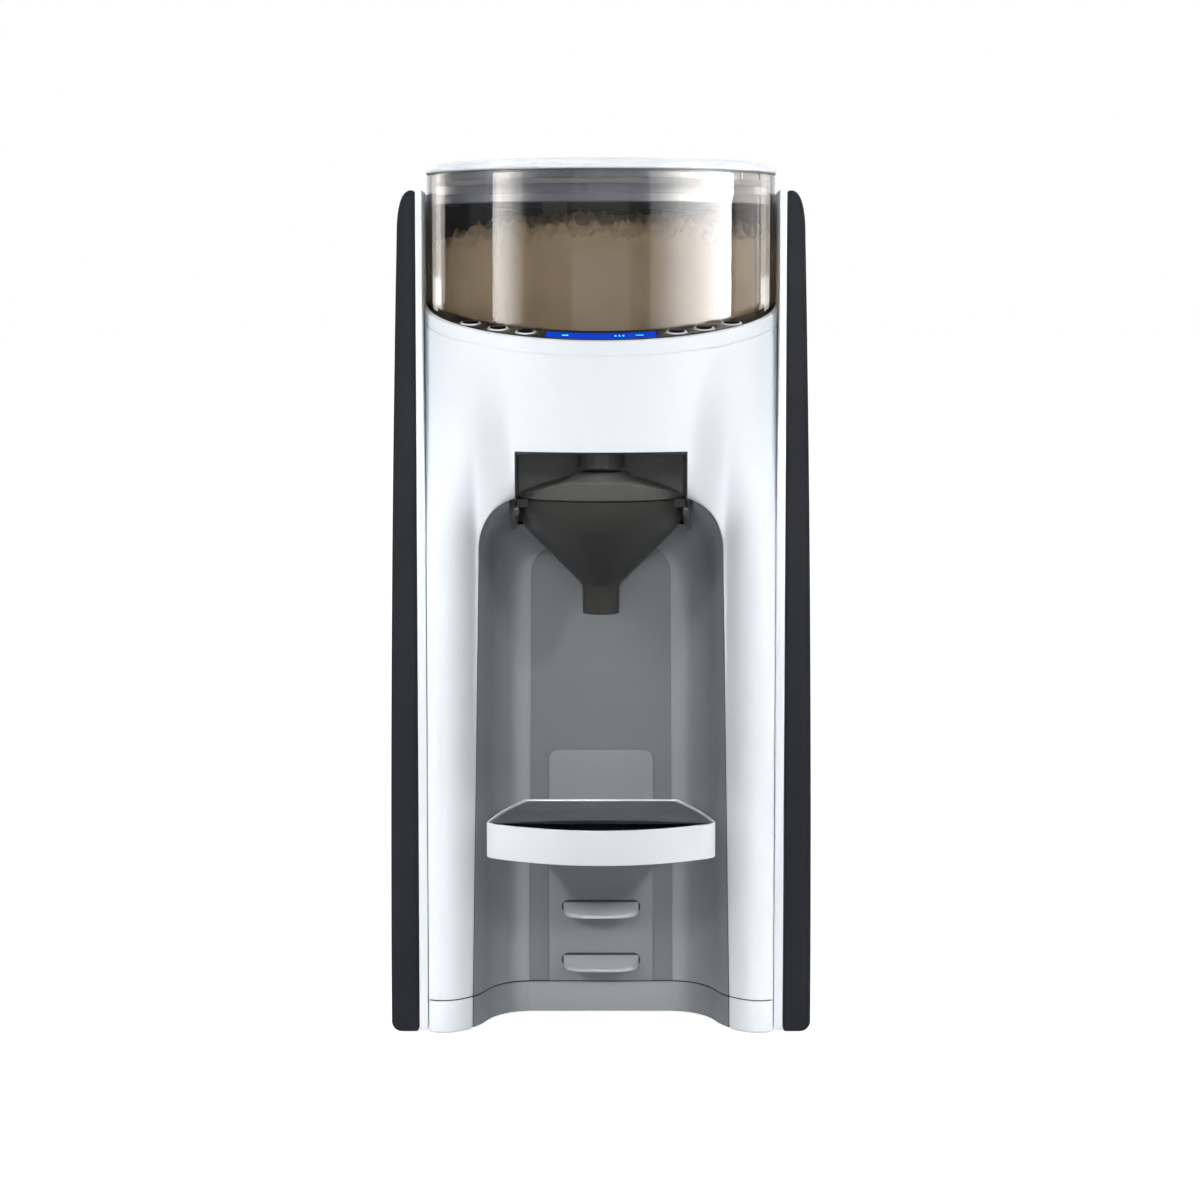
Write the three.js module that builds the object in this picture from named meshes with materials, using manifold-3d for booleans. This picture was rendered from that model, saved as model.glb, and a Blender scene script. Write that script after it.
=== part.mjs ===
// A countertop baby formula maker: powder container on top, bottle bay in front, water tank behind.
// Millimetres, +Z up, front towards -Y, origin on the counter under the middle of the machine.
import * as THREE from "three";
import { mergeVertices } from "three/addons/utils/BufferGeometryUtils.js";
import Module from "manifold-3d";

const wasm = await Module();
wasm.setup();

// Whole machine
const bodyDepth = 290;
const bodyHeight = 343;
const frontY = -bodyDepth / 2;
const backY = bodyDepth / 2;
const gap = 0.3; // left between pieces that touch
const overrun = 5; // how far a cut runs past a face
const weld = 1e-4; // vertices nearer than this are one
const roundSteps = 40;
const midSteps = 20;
const smallSteps = 10;

// Main levels, counted down from the top of the lid
const lidTopZ = bodyHeight;
const containerDrop = 5.8;
const containerTopZ = lidTopZ - containerDrop;
const containerHeight = 71.2;
const containerFloorZ = containerTopZ - containerHeight;
const liningDrop = 13;
const liningTopZ = lidTopZ - liningDrop;
const rimDrop = 70.4;
const rimFrontZ = lidTopZ - rimDrop;
const archDrop = 58;
const archTopZ = rimFrontZ - archDrop;
const deckDrop = 114;
const deckTopZ = lidTopZ - deckDrop;

// Main planes, counted back from the front
const funnelSetback = 38;
const funnelY = frontY + funnelSetback;
const containerSetback = 88;
const containerY = frontY + containerSetback;
const bayDepth = 77;
const bayBackY = frontY + bayDepth;
const frameSetback = 129;
const frameY = frontY + frameSetback;

// Front shell: a round head that blends into two convex legs
const headRadius = 71;
const headCentreY = frontY + headRadius;
const shellWall = 2.2;
const shellHalfWidthLow = 67.8;
const shellHalfWidthHigh = 68.6;
const widenRise = 2.4;
const widenHeight = 85;
const widenToZ = rimFrontZ + widenRise;
const widenFromZ = widenToZ - widenHeight;
const widenShares = [0, 0.35, 0.65, 1];
const skirtZ = 2; // underside of the skirt above the counter
const baseTopZ = 13.5;
const seamZ = baseTopZ + gap;
const rimSlope = THREE.MathUtils.degToRad(12);
const blankRise = 17.4;
const blankTopZ = rimFrontZ + blankRise; // the shell before its rim is cut
const legRadius = 14.5;
const legCentreX = 60.5;
const legSetback = 41;
const legFrontY = frontY + legSetback;
const blendDrop = 2.6;
const blendHeight = 85;
const blendTopZ = rimFrontZ - blendDrop;
const blendLowZ = blendTopZ - blendHeight;
const blendInnerX = 33;
const blendOuterX = 50;
const rollRadius = 13; // rounded edge over the bay
const rollLip = 2;

// Bottle bay
const archHalfWidth = 50.8;
const archTaper = 2.9;
const archCorner = 24;
const bayBackHalfWidth = 29;
const bayBackTaper = 1.2;
const bayRoofDrop = 23.6;
const bayBackTopZ = archTopZ - bayRoofDrop;
const bayBackCorner = 12;
const linerWall = 2;
const insetShares = [0, 0.14, 0.33, 0.63, 1];
const depthShares = [0, 0.2, 0.6, 0.89, 1];

// Sides
const liningInnerX = 69.9;
const liningOuterX = 71.5;
const liningLipSetback = 1;
const liningLipY = legFrontY + liningLipSetback;
const liningLipDepth = 27;
const liningStepY = liningLipY + liningLipDepth;
const panelFootX = 82.5;
const panelShoulderX = 78.7;
const panelShoulderDrop = 18;
const panelShoulderZ = liningTopZ - panelShoulderDrop;
const panelTopX = 73;
const panelBendShare = 0.513;
const panelBendZ = panelShoulderZ * panelBendShare;
const panelFootRadius = 4;
const panelWall = 3;

// Base and back
const plateThickness = 2.5;
const plateSetback = 3.1;
const plateFrontY = bayBackY + plateSetback;
const backWall = 2.7;
const backDrop = 1.5;
const backTopZ = deckTopZ - backDrop;
const footRadius = 6.5;
const footStemRadius = 2.5;
const footStemZ = 6;
const frontFootX = 59.5;
const frontFootSetback = 61;
const frontFoot = [frontFootX, frontY + frontFootSetback];
const rearFootX = 58;
const rearFootInset = 20;
const rearFoot = [rearFootX, backY - rearFootInset];
const ventCount = 7;
const ventLength = 60;
const ventHeight = 3;
const ventPitch = 8;
const ventDrop = 89;
const ventLowZ = deckTopZ - ventDrop;
const inletX = 38;
const inletZ = 34;
const inletWidth = 28;
const inletHeight = 21;
const inletDepth = 24;
const inletRim = 2.5;
const pinRadius = 1.2;
const pinLength = 12;
const pinPitch = 4.5;
const screwX = 62;
const screwDrop = 15;
const screwZ = deckTopZ - screwDrop;
const screwRadius = 1.5;
const screwHeadRadius = 3;
const screwHeadHeight = 1.6;
const screwLength = 10;
const lugSize = 9;

// Inner frame and rear deck
const frameWall = 3;
const frameFlange = 50;
const frameHoleRadius = 8;
const deckWall = 3;

// Powder container, its bay and lid
const containerRadius = 69.5;
const containerWall = 2;
const containerFloor = 2.4;
const containerCorner = 6;
const bayWall = 1.2;
const bayFloor = 2.5;
const bayClearance = 0.4;
const bayDrop = 3;
const bayTopZ = liningTopZ - bayDrop;
const outletReach = 50; // from the container's axis to its outlet
const outletRadius = 7.5;
const lidRadius = 69.8;
const lidRimZ = containerTopZ + gap;
const lidPlateThickness = 3.5;
const lidPlateZ = lidTopZ - lidPlateThickness;
const lidEdge = 2;
const lidSkirtRadius = 66.9;
const lidSkirtWall = 2;
const lidSkirtHeight = 9;
const lidSkirtZ = lidRimZ - lidSkirtHeight;
const sealRise = 3.5;
const sealZ = lidSkirtZ + sealRise;
const sealHeight = 2;
const sealDepth = 0.9;
const postX = -19;
const postSetback = 37;
const postY = containerY + postSetback;
const postWidth = 10;
const postThickness = 3;
const postDrop = 3;
const postZ = lidSkirtZ - postDrop;

// Portion wheel, stirrer, powder
const wheelRadius = 61;
const wheelThickness = 4;
const pocketCount = 8;
const wheelZ = containerFloorZ + containerFloor + gap;
const hexRadius = 2.9;
const hexClearance = 0.35;
const stirrerHubRadius = 9;
const stirrerHubHeight = 12;
const bladeHeight = 6;
const bladeThickness = 2.4;
const bladeReach = 59;
const powderClearance = 0.8;
const powderRise = 6.6;
const powderLowZ = containerFloorZ + powderRise;
const powderFill = 45;
const powderEdgeZ = containerFloorZ + powderFill;
const powderHeap = 9;
const powderLump = 1.5;
const powderLumps = 3;
const powderHubRadius = 11;

// Drive under the container
const gearModule = 1;
const gearTeeth = 36;
const pinionTeeth = 12;
const gearDrop = 15;
const gearZ = containerFloorZ - gearDrop;
const gearThickness = 7;
const backlash = 0.5;
const toothFootShare = 1.5;
const toothTipShare = 0.55;
const toothTip = 0.9;
const toothRoot = 1.2;
const shaftRadius = 3;
const shaftReach = 9;
const shaftTopZ = containerFloorZ + shaftReach;
const motorRadius = 14;
const motorHeight = 44;
const motorShaftRadius = 1.5;
const bracketDrop = 5;
const bracketZ = gearZ - bracketDrop;
const motorClearance = 1;
const motorZ = bracketZ - motorClearance - motorHeight;
const bracketWall = 2.5;
const bracketHalfWidth = 26;
const bracketReach = 15;
const bracketFrontY = containerY - bracketReach;
const bracketRearY = frameY - gap;
const bracketPostRadius = 3;

// Control panel
const panelThickness = 1.8;
const panelClearance = 0.5;
const panelEndX = 59;
const lcdHalfWidth = 20.8;
const lcdThickness = 3.4;
const lcdMarginFront = 1.8;
const lcdMarginRear = 2.6;
const buttonRadius = 4.2;
const buttonPlaces = [28.5, 39.1, 49.8];
const buttonRise = 0.9;
const buttonCap = 2.4;
const buttonStemRadius = 1.8;
const buttonStem = 2.9;
const buttonTravel = 0.8;
const boardThickness = 1.6;
const boardEndX = 58;

// Funnel and its holder
const openingHalfWidth = 32.5;
const openingRise = 16.7;
const openingTopZ = archTopZ + openingRise;
const holderWall = 2;
const holderRearReach = 35;
const holderRearY = funnelY + holderRearReach;
const holderFrontReach = 9;
const holderFrontY = funnelY - holderFrontReach;
const holderTopReach = 23;
const holderTopFrontY = funnelY - holderTopReach;
const holderHeight = 31.3;
const holderLowZ = openingTopZ - holderHeight;
const funnelDrop = 18.9;
const funnelRimZ = openingTopZ - funnelDrop;
const railDrop = 3.4;
const railHeight = 2.7;
const railWidth = 1.3;
const railTopZ = funnelRimZ - railDrop;
const railLowZ = railTopZ - railHeight;
const railReach = 24;
const railFrontY = funnelY - railReach;
const funnelRadius = 31.2;
const funnelBand = 10.4;
const funnelConeZ = funnelRimZ - funnelBand;
const coneHeight = 23.6;
const spoutRadius = 7.1;
const spoutTopZ = funnelConeZ - coneHeight;
const spoutLength = 11.2;
const spoutLowZ = spoutTopZ - spoutLength;
const funnelWall = 1.6;
const slotClearance = 1; // room round the cone where it passes the roof of the bay
const spoutWall = 1.3;
const tabLength = 28;
const tabHalfWidth = 32.2;
const coverHalfWidth = 32;
const coverCrown = 6.2;
const coverWall = 1.8;
const coverDomeRadius = 15;
const coverDomeRise = 3.2;
const powderHoleRadius = 8;
const chuteRadius = 9;
const chuteWall = 1.4;
const chuteDrop = 7.7;
const chuteLowZ = openingTopZ - chuteDrop;
const chuteFlange = 12.5;
const flangeThickness = 2;
const nozzleSetback = 22;
const nozzleY = funnelY + nozzleSetback;
const nozzleRadius = 3.5;
const nozzleBore = 2;
const nozzleRise = 10.7;
const nozzleTopZ = openingTopZ + nozzleRise;
const nozzleFlange = 6;

// Tray and its rail
const railHalfWidth = 21;
const trayRailTopZ = 108;
const trayRailWall = 2;
const pegHalfWidth = 15.1;
const pegReach = 16;
const pegRise = 2.8;
const pegFrontHeight = 1.3;
const pegCorner = 4;
const pegTops = [24.5, 46.2, 82];
const trayLowZ = 74.8;
const trayThickness = 13.5;
const trayTopZ = trayLowZ + trayThickness;
const trayFrontHalfWidth = 44.4;
const trayRearHalfWidth = 30.8;
const traySagitta = 18;
const traySideBow = 3;
const trayPadInset = 1.6;
const trayPadDepth = 2;
const traySocketClearance = 0.4;

// Water tank
const tankHalfWidth = 68.3;
const tankSetback = 32.5;
const tankFrontY = frameY + tankSetback;
const tankRearInset = 4;
const tankRearY = backY - tankRearInset;
const tankCorner = 12;
const tankWall = 2.5;
const tankDrop = 25;
const tankTopZ = lidTopZ - tankDrop;
const tankLidThickness = 3;
const hingeSetback = 1.4;
const hingeY = tankRearY + hingeSetback;
const hingeRise = 2.7;
const hingeZ = tankTopZ + hingeRise;
const hingePinRadius = 1;
const hingeBarrelRadius = 2.2;
const hingeHalfLength = 38;
const hingeEar = 5;
const hingeSweep = 3.8; // the lid's edge keeps this far from the hinge axis beside an ear
const hingeFootDrop = 12;
const hingeFootZ = tankTopZ - hingeFootDrop;
const lidLip = 4;
const lidLipWidth = 30;
const valveInset = 37;
const valveY = backY - valveInset;
const valveStemRadius = 5.8;
const valveFlangeRadius = 10;
const valveFlangeHeight = 2;
const valveDrop = 3;
const dockRadius = 11;
const dockWall = 2;
const dockDepth = 10;
const dockFlange = 15;
const barbRadius = 3;
const barbLength = 7;

// Water path and electrics behind the inner frame
const pumpX = -36;
const pumpWidth = 34;
const pumpDepth = 40;
const pumpHeight = 36;
const pumpMotorRadius = 14;
const pumpMotorLength = 28;
const heaterX = 36;
const heaterSetback = 26;
const heaterY = frameY + heaterSetback;
const heaterRadius = 15;
const heaterLowZ = 92;
const heaterDrop = 59;
const heaterHeight = deckTopZ - heaterDrop - heaterLowZ;
const hosePassDrop = 17;
const hosePassZ = deckTopZ - hosePassDrop;
const hoseRadius = 2.5;
const hoseSteps = 20;
const boardWidth = 62;
const boardHeight = 92;
const boardX = -34;
const boardDrop = 25;
const boardLowZ = deckTopZ - boardDrop - boardHeight;
const boardStandoff = 5;

// Vector and number helpers
const { lerp, smoothstep } = THREE.MathUtils;
const vec = (x, y, z) => new THREE.Vector3(x, y, z);

// Turns a three.js geometry into a solid with merged vertices and faces that point out
function solidOf(geometry) {
  const bare = geometry.index ? geometry.toNonIndexed() : geometry.clone();
  bare.deleteAttribute("normal");
  bare.deleteAttribute("uv");
  const merged = mergeVertices(bare, weld);
  const place = merged.attributes.position;
  const index = merged.index.array;
  const corners = [];
  const [a, b, c] = [vec(), vec(), vec()];
  let volume = 0;
  for (let i = 0; i < index.length; i += 3) {
    const [p, q, r] = [index[i], index[i + 1], index[i + 2]];
    if (p === q || q === r || p === r) continue;
    corners.push(p, q, r);
    a.fromBufferAttribute(place, p);
    b.fromBufferAttribute(place, q);
    c.fromBufferAttribute(place, r);
    volume += a.dot(b.cross(c));
  }
  if (volume < 0) corners.reverse();
  const mesh = new wasm.Mesh({
    numProp: 3,
    vertProperties: place.array,
    triVerts: new Uint32Array(corners),
  });
  return new wasm.Manifold(mesh);
}

function block(x0, x1, y0, y1, z0, z1) {
  const box = new THREE.BoxGeometry(x1 - x0, y1 - y0, z1 - z0);
  return solidOf(box.translate((x0 + x1) / 2, (y0 + y1) / 2, (z0 + z1) / 2));
}

function shapeOf(outline) {
  if (outline instanceof THREE.Shape) return outline;
  return new THREE.Shape(outline.map(([x, y]) => new THREE.Vector2(x, y)));
}

// An upright prism over a plan outline: a Shape, or a list of [x, y]
function prism(outline, z0, z1, curveSegments = smallSteps) {
  const options = { depth: z1 - z0, bevelEnabled: false, curveSegments };
  const body = new THREE.ExtrudeGeometry(shapeOf(outline), options);
  return solidOf(body.translate(0, 0, z0));
}

// A prism along Y over an outline in X and Z
function frontPrism(outline, y0, y1, curveSegments = smallSteps) {
  const options = { depth: y1 - y0, bevelEnabled: false, curveSegments };
  const body = new THREE.ExtrudeGeometry(shapeOf(outline), options);
  return solidOf(body.rotateX(Math.PI / 2).translate(0, y1, 0));
}

// A body of revolution about the vertical at x, y; the profile lists [radius, z]
function turned(profile, x, y, steps = midSteps) {
  const points = profile.map(([r, z]) => new THREE.Vector2(r, z));
  const lathe = new THREE.LatheGeometry(points, steps);
  return solidOf(lathe.rotateX(Math.PI / 2).translate(x, y, 0));
}

function rod(radius, x, y, z0, z1, steps = smallSteps) {
  return turned([[0, z0], [radius, z0], [radius, z1], [0, z1]], x, y, steps);
}

// A rod along X
function crossRod(radius, y, z, x0, x1, steps = smallSteps) {
  const bar = new THREE.CylinderGeometry(radius, radius, x1 - x0, steps);
  return solidOf(bar.rotateZ(Math.PI / 2).translate((x0 + x1) / 2, y, z));
}

// A rod along Y
function deepRod(radius, x, z, y0, y1, steps = smallSteps) {
  const bar = new THREE.CylinderGeometry(radius, radius, y1 - y0, steps);
  return solidOf(bar.translate(x, (y0 + y1) / 2, z));
}

// A closed body between two grids of points of the same size, joined round their border
function slab(outer, inner) {
  const rows = outer.length;
  const columns = outer[0].length;
  const positions = [];
  const quad = (p, q, r, s) => {
    for (const corner of [p, q, r, p, r, s]) positions.push(corner.x, corner.y, corner.z);
  };
  for (let i = 0; i + 1 < rows; i++) {
    for (let j = 0; j + 1 < columns; j++) {
      quad(outer[i][j], outer[i + 1][j], outer[i + 1][j + 1], outer[i][j + 1]);
      quad(inner[i][j], inner[i][j + 1], inner[i + 1][j + 1], inner[i + 1][j]);
    }
  }
  const last = columns - 1;
  for (let i = 0; i + 1 < rows; i++) {
    quad(outer[i][0], inner[i][0], inner[i + 1][0], outer[i + 1][0]);
    quad(outer[i + 1][last], inner[i + 1][last], inner[i][last], outer[i][last]);
  }
  const end = rows - 1;
  for (let j = 0; j + 1 < columns; j++) {
    quad(outer[0][j + 1], inner[0][j + 1], inner[0][j], outer[0][j]);
    quad(outer[end][j], inner[end][j], inner[end][j + 1], outer[end][j + 1]);
  }
  const body = new THREE.BufferGeometry();
  body.setAttribute("position", new THREE.Float32BufferAttribute(positions, 3));
  return solidOf(body);
}

// A tube of round section along a smooth route
function tube(points, radius, steps) {
  const section = new THREE.Shape().absarc(0, 0, radius, 0, 2 * Math.PI);
  const route = new THREE.CatmullRomCurve3(points.map(([x, y, z]) => vec(x, y, z)), false, "centripetal");
  return solidOf(new THREE.ExtrudeGeometry(section, { steps, extrudePath: route, curveSegments: 4 }));
}

function roundedPlan(halfWidth, y0, y1, corner) {
  const shape = new THREE.Shape();
  shape.moveTo(halfWidth - corner, y0);
  shape.absarc(halfWidth - corner, y0 + corner, corner, -Math.PI / 2, 0);
  shape.absarc(halfWidth - corner, y1 - corner, corner, 0, Math.PI / 2);
  shape.absarc(corner - halfWidth, y1 - corner, corner, Math.PI / 2, Math.PI);
  shape.absarc(corner - halfWidth, y0 + corner, corner, Math.PI, 1.5 * Math.PI);
  return shape;
}

const mirrored = (solid) => solid.mirror([1, 0, 0]);

// Materials
const colours = {
  white: [0xf0f4f8, 0.22, 0],
  black: [0x303234, 0.38, 0],
  grey: [0x686c70, 0.45, 0],
  paleGrey: [0x8a9094, 0.4, 0],
  dark: [0x3a3b3c, 0.35, 0],
  smoke: [0x3c3a38, 0.15, 0],
  clear: [0xb8b0a8, 0.08, 0],
  powder: [0xc8b49a, 0.95, 0],
  glossBlack: [0x0c0c0e, 0.12, 0],
  blue: [0x1c4cff, 0.25, 0],
  silver: [0xb4b8bc, 0.25, 0.8],
  rubber: [0x26262a, 0.85, 0],
  steel: [0x9aa0a6, 0.35, 0.9],
  nylon: [0xe4e0d4, 0.5, 0],
  board: [0x1e5c38, 0.6, 0],
  copper: [0xb87848, 0.35, 0.9],
  tank: [0x8c9aa4, 0.12, 0],
};

const machine = new THREE.Group();

function addPiece(name, solid, finish) {
  const { vertProperties, triVerts, numProp } = solid.getMesh();
  const geometry = new THREE.BufferGeometry();
  const places = new THREE.InterleavedBuffer(vertProperties, numProp);
  geometry.setAttribute("position", new THREE.InterleavedBufferAttribute(places, 3, 0));
  geometry.setIndex(new THREE.BufferAttribute(triVerts, 1));
  geometry.computeVertexNormals();
  const [color, roughness, metalness] = colours[finish];
  const mesh = new THREE.Mesh(geometry, new THREE.MeshStandardMaterial({ color, roughness, metalness }));
  mesh.name = name;
  machine.add(mesh);
}

// Half width of the front shell at a height
function shellHalfWidth(z) {
  return lerp(shellHalfWidthLow, shellHalfWidthHigh, smoothstep(z, widenFromZ, widenToZ));
}

// How far the rounded edge of the arch has turned back at a distance from its edge
function rollBack(distance, inset) {
  const radius = rollRadius - inset;
  const across = rollRadius - distance;
  if (across <= 0) return 0;
  if (across >= radius) return radius + (inset ? rollLip : 0);
  return radius - Math.sqrt(radius ** 2 - across ** 2);
}

// Front surface of the shell, or the surface an inset behind it
function shellY(x, z, distance, inset) {
  const radius = headRadius - inset;
  const head = headCentreY - Math.sqrt(radius ** 2 - Math.min(x * x, radius ** 2));
  const legReach = Math.sqrt(Math.max(0, legRadius ** 2 - (Math.abs(x) - legCentreX) ** 2));
  const leg = legFrontY + legRadius + inset - legReach;
  const low = 1 - smoothstep(z, blendLowZ, blendTopZ);
  const blend = low * smoothstep(Math.abs(x), blendInnerX, blendOuterX);
  return lerp(head + rollBack(distance, inset), leg, blend);
}

// Stations along the arch from the right leg's foot to the middle of its top
const legShares = [0, 0.3, 0.6, 0.8, 0.92, 1];
const cornerCount = 8;
const topCount = 5;
const rollShares = [0, 0.1, 0.32, 0.65, 1];
const restShares = [0.25, 0.5, 0.75, 1];

function halfStations() {
  const stations = legShares.map((share) => ({ part: "leg", share }));
  for (let k = 1; k <= cornerCount; k++) stations.push({ part: "corner", share: k / cornerCount });
  for (let k = 1; k <= topCount; k++) stations.push({ part: "top", share: k / topCount });
  return stations;
}

// The point of an arch in X and Z at a station
function archPoint({ part, share }, arch) {
  const shoulderZ = arch.topZ - arch.corner;
  const shoulderX = arch.highX - arch.corner;
  if (part === "leg") return [lerp(arch.lowX, arch.highX, share), lerp(arch.lowZ, shoulderZ, share)];
  if (part === "top") return [shoulderX * (1 - share), arch.topZ];
  const turn = (share * Math.PI) / 2;
  return [shoulderX + arch.corner * Math.cos(turn), shoulderZ + arch.corner * Math.sin(turn)];
}

// The point of the shell's outer border that faces a station
function borderPoint(station, arch) {
  const shoulderZ = arch.topZ - arch.corner;
  if (station.part === "leg") {
    const z = lerp(arch.lowZ, shoulderZ, station.share);
    return [shellHalfWidth(z), z];
  }
  const round = (turn) => [shellHalfWidthHigh * Math.sin(turn), blankTopZ];
  if (station.part === "top") return round(((1 - station.share) * Math.PI) / 4);
  if (station.share > 0.5) return round(((1.5 - station.share) * Math.PI) / 2);
  const z = lerp(shoulderZ, blankTopZ, 2 * station.share);
  return [shellHalfWidth(z), z];
}

const openingArch = {
  lowX: archHalfWidth,
  highX: archHalfWidth - archTaper,
  lowZ: seamZ,
  topZ: archTopZ,
  corner: archCorner,
};

// Both halves of a list of rows that was made for the right half, from left to right
function bothSides(rows) {
  const flipped = rows.slice(0, -1).map((row) => row.map((p) => vec(-p.x, p.y, p.z)));
  return [...flipped, ...rows.slice().reverse()];
}

function shellGrid(inset) {
  const rows = halfStations().map((station) => {
    const [x0, z0] = archPoint(station, openingArch);
    const [x1, z1] = borderPoint(station, openingArch);
    const length = Math.hypot(x1 - x0, z1 - z0);
    const reaches = rollShares.map((share) => share * rollRadius);
    for (const share of restShares) reaches.push(lerp(rollRadius, length, share));
    return reaches.map((reach) => {
      const x = lerp(x0, x1, reach / length);
      const z = lerp(z0, z1, reach / length);
      return vec(x, shellY(x, z, reach, inset), z);
    });
  });
  return bothSides(rows);
}

// A wide slab parallel to the sloped rim, its top lowered by a depth
function rimSlab(depth, thickness) {
  const size = 2 * bodyDepth;
  const plate = new THREE.BoxGeometry(size, size, thickness);
  plate.translate(0, 0, -depth - thickness / 2);
  return solidOf(plate.rotateX(rimSlope).translate(0, frontY, rimFrontZ));
}

const aboveRim = (depth) => rimSlab(depth - bodyDepth, bodyDepth);

function rimZ(y) {
  return rimFrontZ + Math.tan(rimSlope) * (y - frontY);
}

function frontShell() {
  const opening = block(
    -openingHalfWidth, openingHalfWidth, frontY - overrun, bayBackY, archTopZ - archCorner, openingTopZ,
  );
  return slab(shellGrid(0), shellGrid(shellWall)).subtract(aboveRim(0)).subtract(opening);
}

// The arch of the liner at one of its rings
function linerArch(ring, offset) {
  const inset = insetShares[ring];
  const grow = ring ? offset : 0;
  return {
    lowX: lerp(archHalfWidth - gap, bayBackHalfWidth, inset) + grow,
    highX: lerp(archHalfWidth - archTaper - gap, bayBackHalfWidth - bayBackTaper, inset) + grow,
    lowZ: seamZ,
    topZ: lerp(archTopZ - gap, bayBackTopZ, inset) + grow,
    corner: lerp(archCorner, bayBackCorner, inset) + grow,
  };
}

function linerGrid(offset) {
  const rows = halfStations().map((station) => {
    const [edgeX, edgeZ] = archPoint(station, openingArch);
    const edgeY = shellY(edgeX, edgeZ, 0, 0);
    return insetShares.map((_, ring) => {
      const [x, z] = archPoint(station, linerArch(ring, offset));
      return vec(x, lerp(edgeY, bayBackY, depthShares[ring]) + (ring ? 0 : offset), z);
    });
  });
  return bothSides(rows);
}

function archShape(arch, lowZ) {
  const outline = halfStations().map((station) => archPoint(station, { ...arch, lowZ }));
  const flipped = outline.slice(0, -1).map(([x, z]) => [-x, z]);
  return [...flipped, ...outline.slice().reverse()];
}

// The way of the cone, from its place out to the front
function coneSlot() {
  const top = holderLowZ;
  const topRadius = lerp(spoutRadius, funnelRadius, (top - spoutTopZ) / coneHeight) + slotClearance;
  const lowRadius = spoutRadius + slotClearance;
  const round = turned([[0, spoutTopZ], [lowRadius, spoutTopZ], [topRadius, top], [0, top]], 0, funnelY);
  const outline = [[-lowRadius, spoutTopZ], [lowRadius, spoutTopZ], [topRadius, top], [-topRadius, top]];
  return round.add(frontPrism(outline, frontY - overrun, funnelY));
}

function alcoveLiner() {
  const last = insetShares.length - 1;
  const back = frontPrism(archShape(linerArch(last, linerWall), seamZ), bayBackY, bayBackY + linerWall);
  const holder = block(
    -openingHalfWidth - holderWall - 2 * gap, openingHalfWidth + holderWall + 2 * gap,
    frontY, holderRearY + holderWall + gap, holderLowZ - gap, blankTopZ,
  );
  return slab(linerGrid(0), linerGrid(linerWall)).add(back).subtract(holder).subtract(coneSlot());
}

// The band below the seam that follows the plan of the bay
function baseSill() {
  const planRows = (offset) => {
    const half = insetShares.map((_, ring) => {
      const { lowX } = linerArch(ring, offset);
      const edgeY = shellY(archHalfWidth, seamZ, 0, 0);
      const y = lerp(edgeY, bayBackY, depthShares[ring]) + (ring ? 0 : offset);
      return [lowX, y + (ring === insetShares.length - 1 ? offset : 0)];
    });
    const all = [...half, ...half.slice().reverse().map(([x, y]) => [-x, y])];
    return all.map(([x, y]) => [vec(x, y, skirtZ), vec(x, y, baseTopZ)]);
  };
  return slab(planRows(0), planRows(linerWall));
}

const baseCapSteps = 8;

function baseCap() {
  const outline = [];
  for (let k = 0; k <= baseCapSteps; k++) {
    const x = lerp(archHalfWidth, shellHalfWidthLow, k / baseCapSteps);
    outline.push([x, shellY(x, skirtZ, 0, 0)]);
  }
  outline.push([shellHalfWidthLow, plateFrontY - gap], [archHalfWidth, plateFrontY - gap]);
  const stemHole = rod(footStemRadius + gap, ...frontFoot, 0, footStemZ + gap);
  return prism(outline, skirtZ, baseTopZ).subtract(stemHole);
}

function basePlate() {
  const edge = liningInnerX - gap;
  let plate = block(-edge, edge, plateFrontY, backY - backWall - gap, skirtZ, skirtZ + plateThickness);
  for (const side of [-1, 1]) {
    plate = plate.subtract(rod(footStemRadius + gap, side * rearFoot[0], rearFoot[1], 0, baseTopZ));
  }
  return plate;
}

function foot(x, y) {
  const top = skirtZ - gap;
  const pad = [[0, 0], [footRadius, 0], [footRadius, top], [footStemRadius, top]];
  return turned([...pad, [footStemRadius, footStemZ], [0, footStemZ]], x, y, smallSteps);
}

// White side lining: a flat wall with a thicker front that meets the shell
function sideLining() {
  const heights = [seamZ, ...widenShares.map((share) => lerp(widenFromZ, widenToZ, share))];
  const outline = heights.map((z) => [shellHalfWidth(z) + gap, z]);
  outline.unshift([shellHalfWidth(seamZ) + gap, skirtZ]);
  outline.push([shellHalfWidthHigh + gap, liningTopZ], [liningOuterX, liningTopZ], [liningOuterX, skirtZ]);
  const front = frontPrism(outline, liningLipY, liningStepY);
  const rear = block(liningInnerX, liningOuterX, liningStepY, backY - backWall - gap, skirtZ, liningTopZ);
  return front.add(rear);
}

// Outline of the black side panel in X and Z, shrunk by an inset
function panelShape(inset, innerX) {
  const shape = new THREE.Shape();
  const low = skirtZ + inset;
  const corner = panelFootRadius;
  const foot = panelFootX - inset;
  const shoulder = panelShoulderX - inset;
  const top = liningTopZ - inset;
  shape.moveTo(innerX, low);
  shape.lineTo(foot - corner, low);
  shape.absarc(foot - corner, low + corner, corner, -Math.PI / 2, 0);
  shape.quadraticCurveTo(foot, panelBendZ, shoulder, panelShoulderZ - inset);
  shape.quadraticCurveTo(shoulder, top, panelTopX, top);
  shape.lineTo(innerX, top);
  return shape;
}

function sidePanel() {
  const steps = 7;
  const outer = frontPrism(panelShape(0, liningOuterX + gap), liningLipY, backY, steps);
  const hollow = frontPrism(
    panelShape(panelWall, liningInnerX), liningLipY + panelWall, backY - panelWall, steps,
  );
  return outer.subtract(hollow);
}

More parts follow.
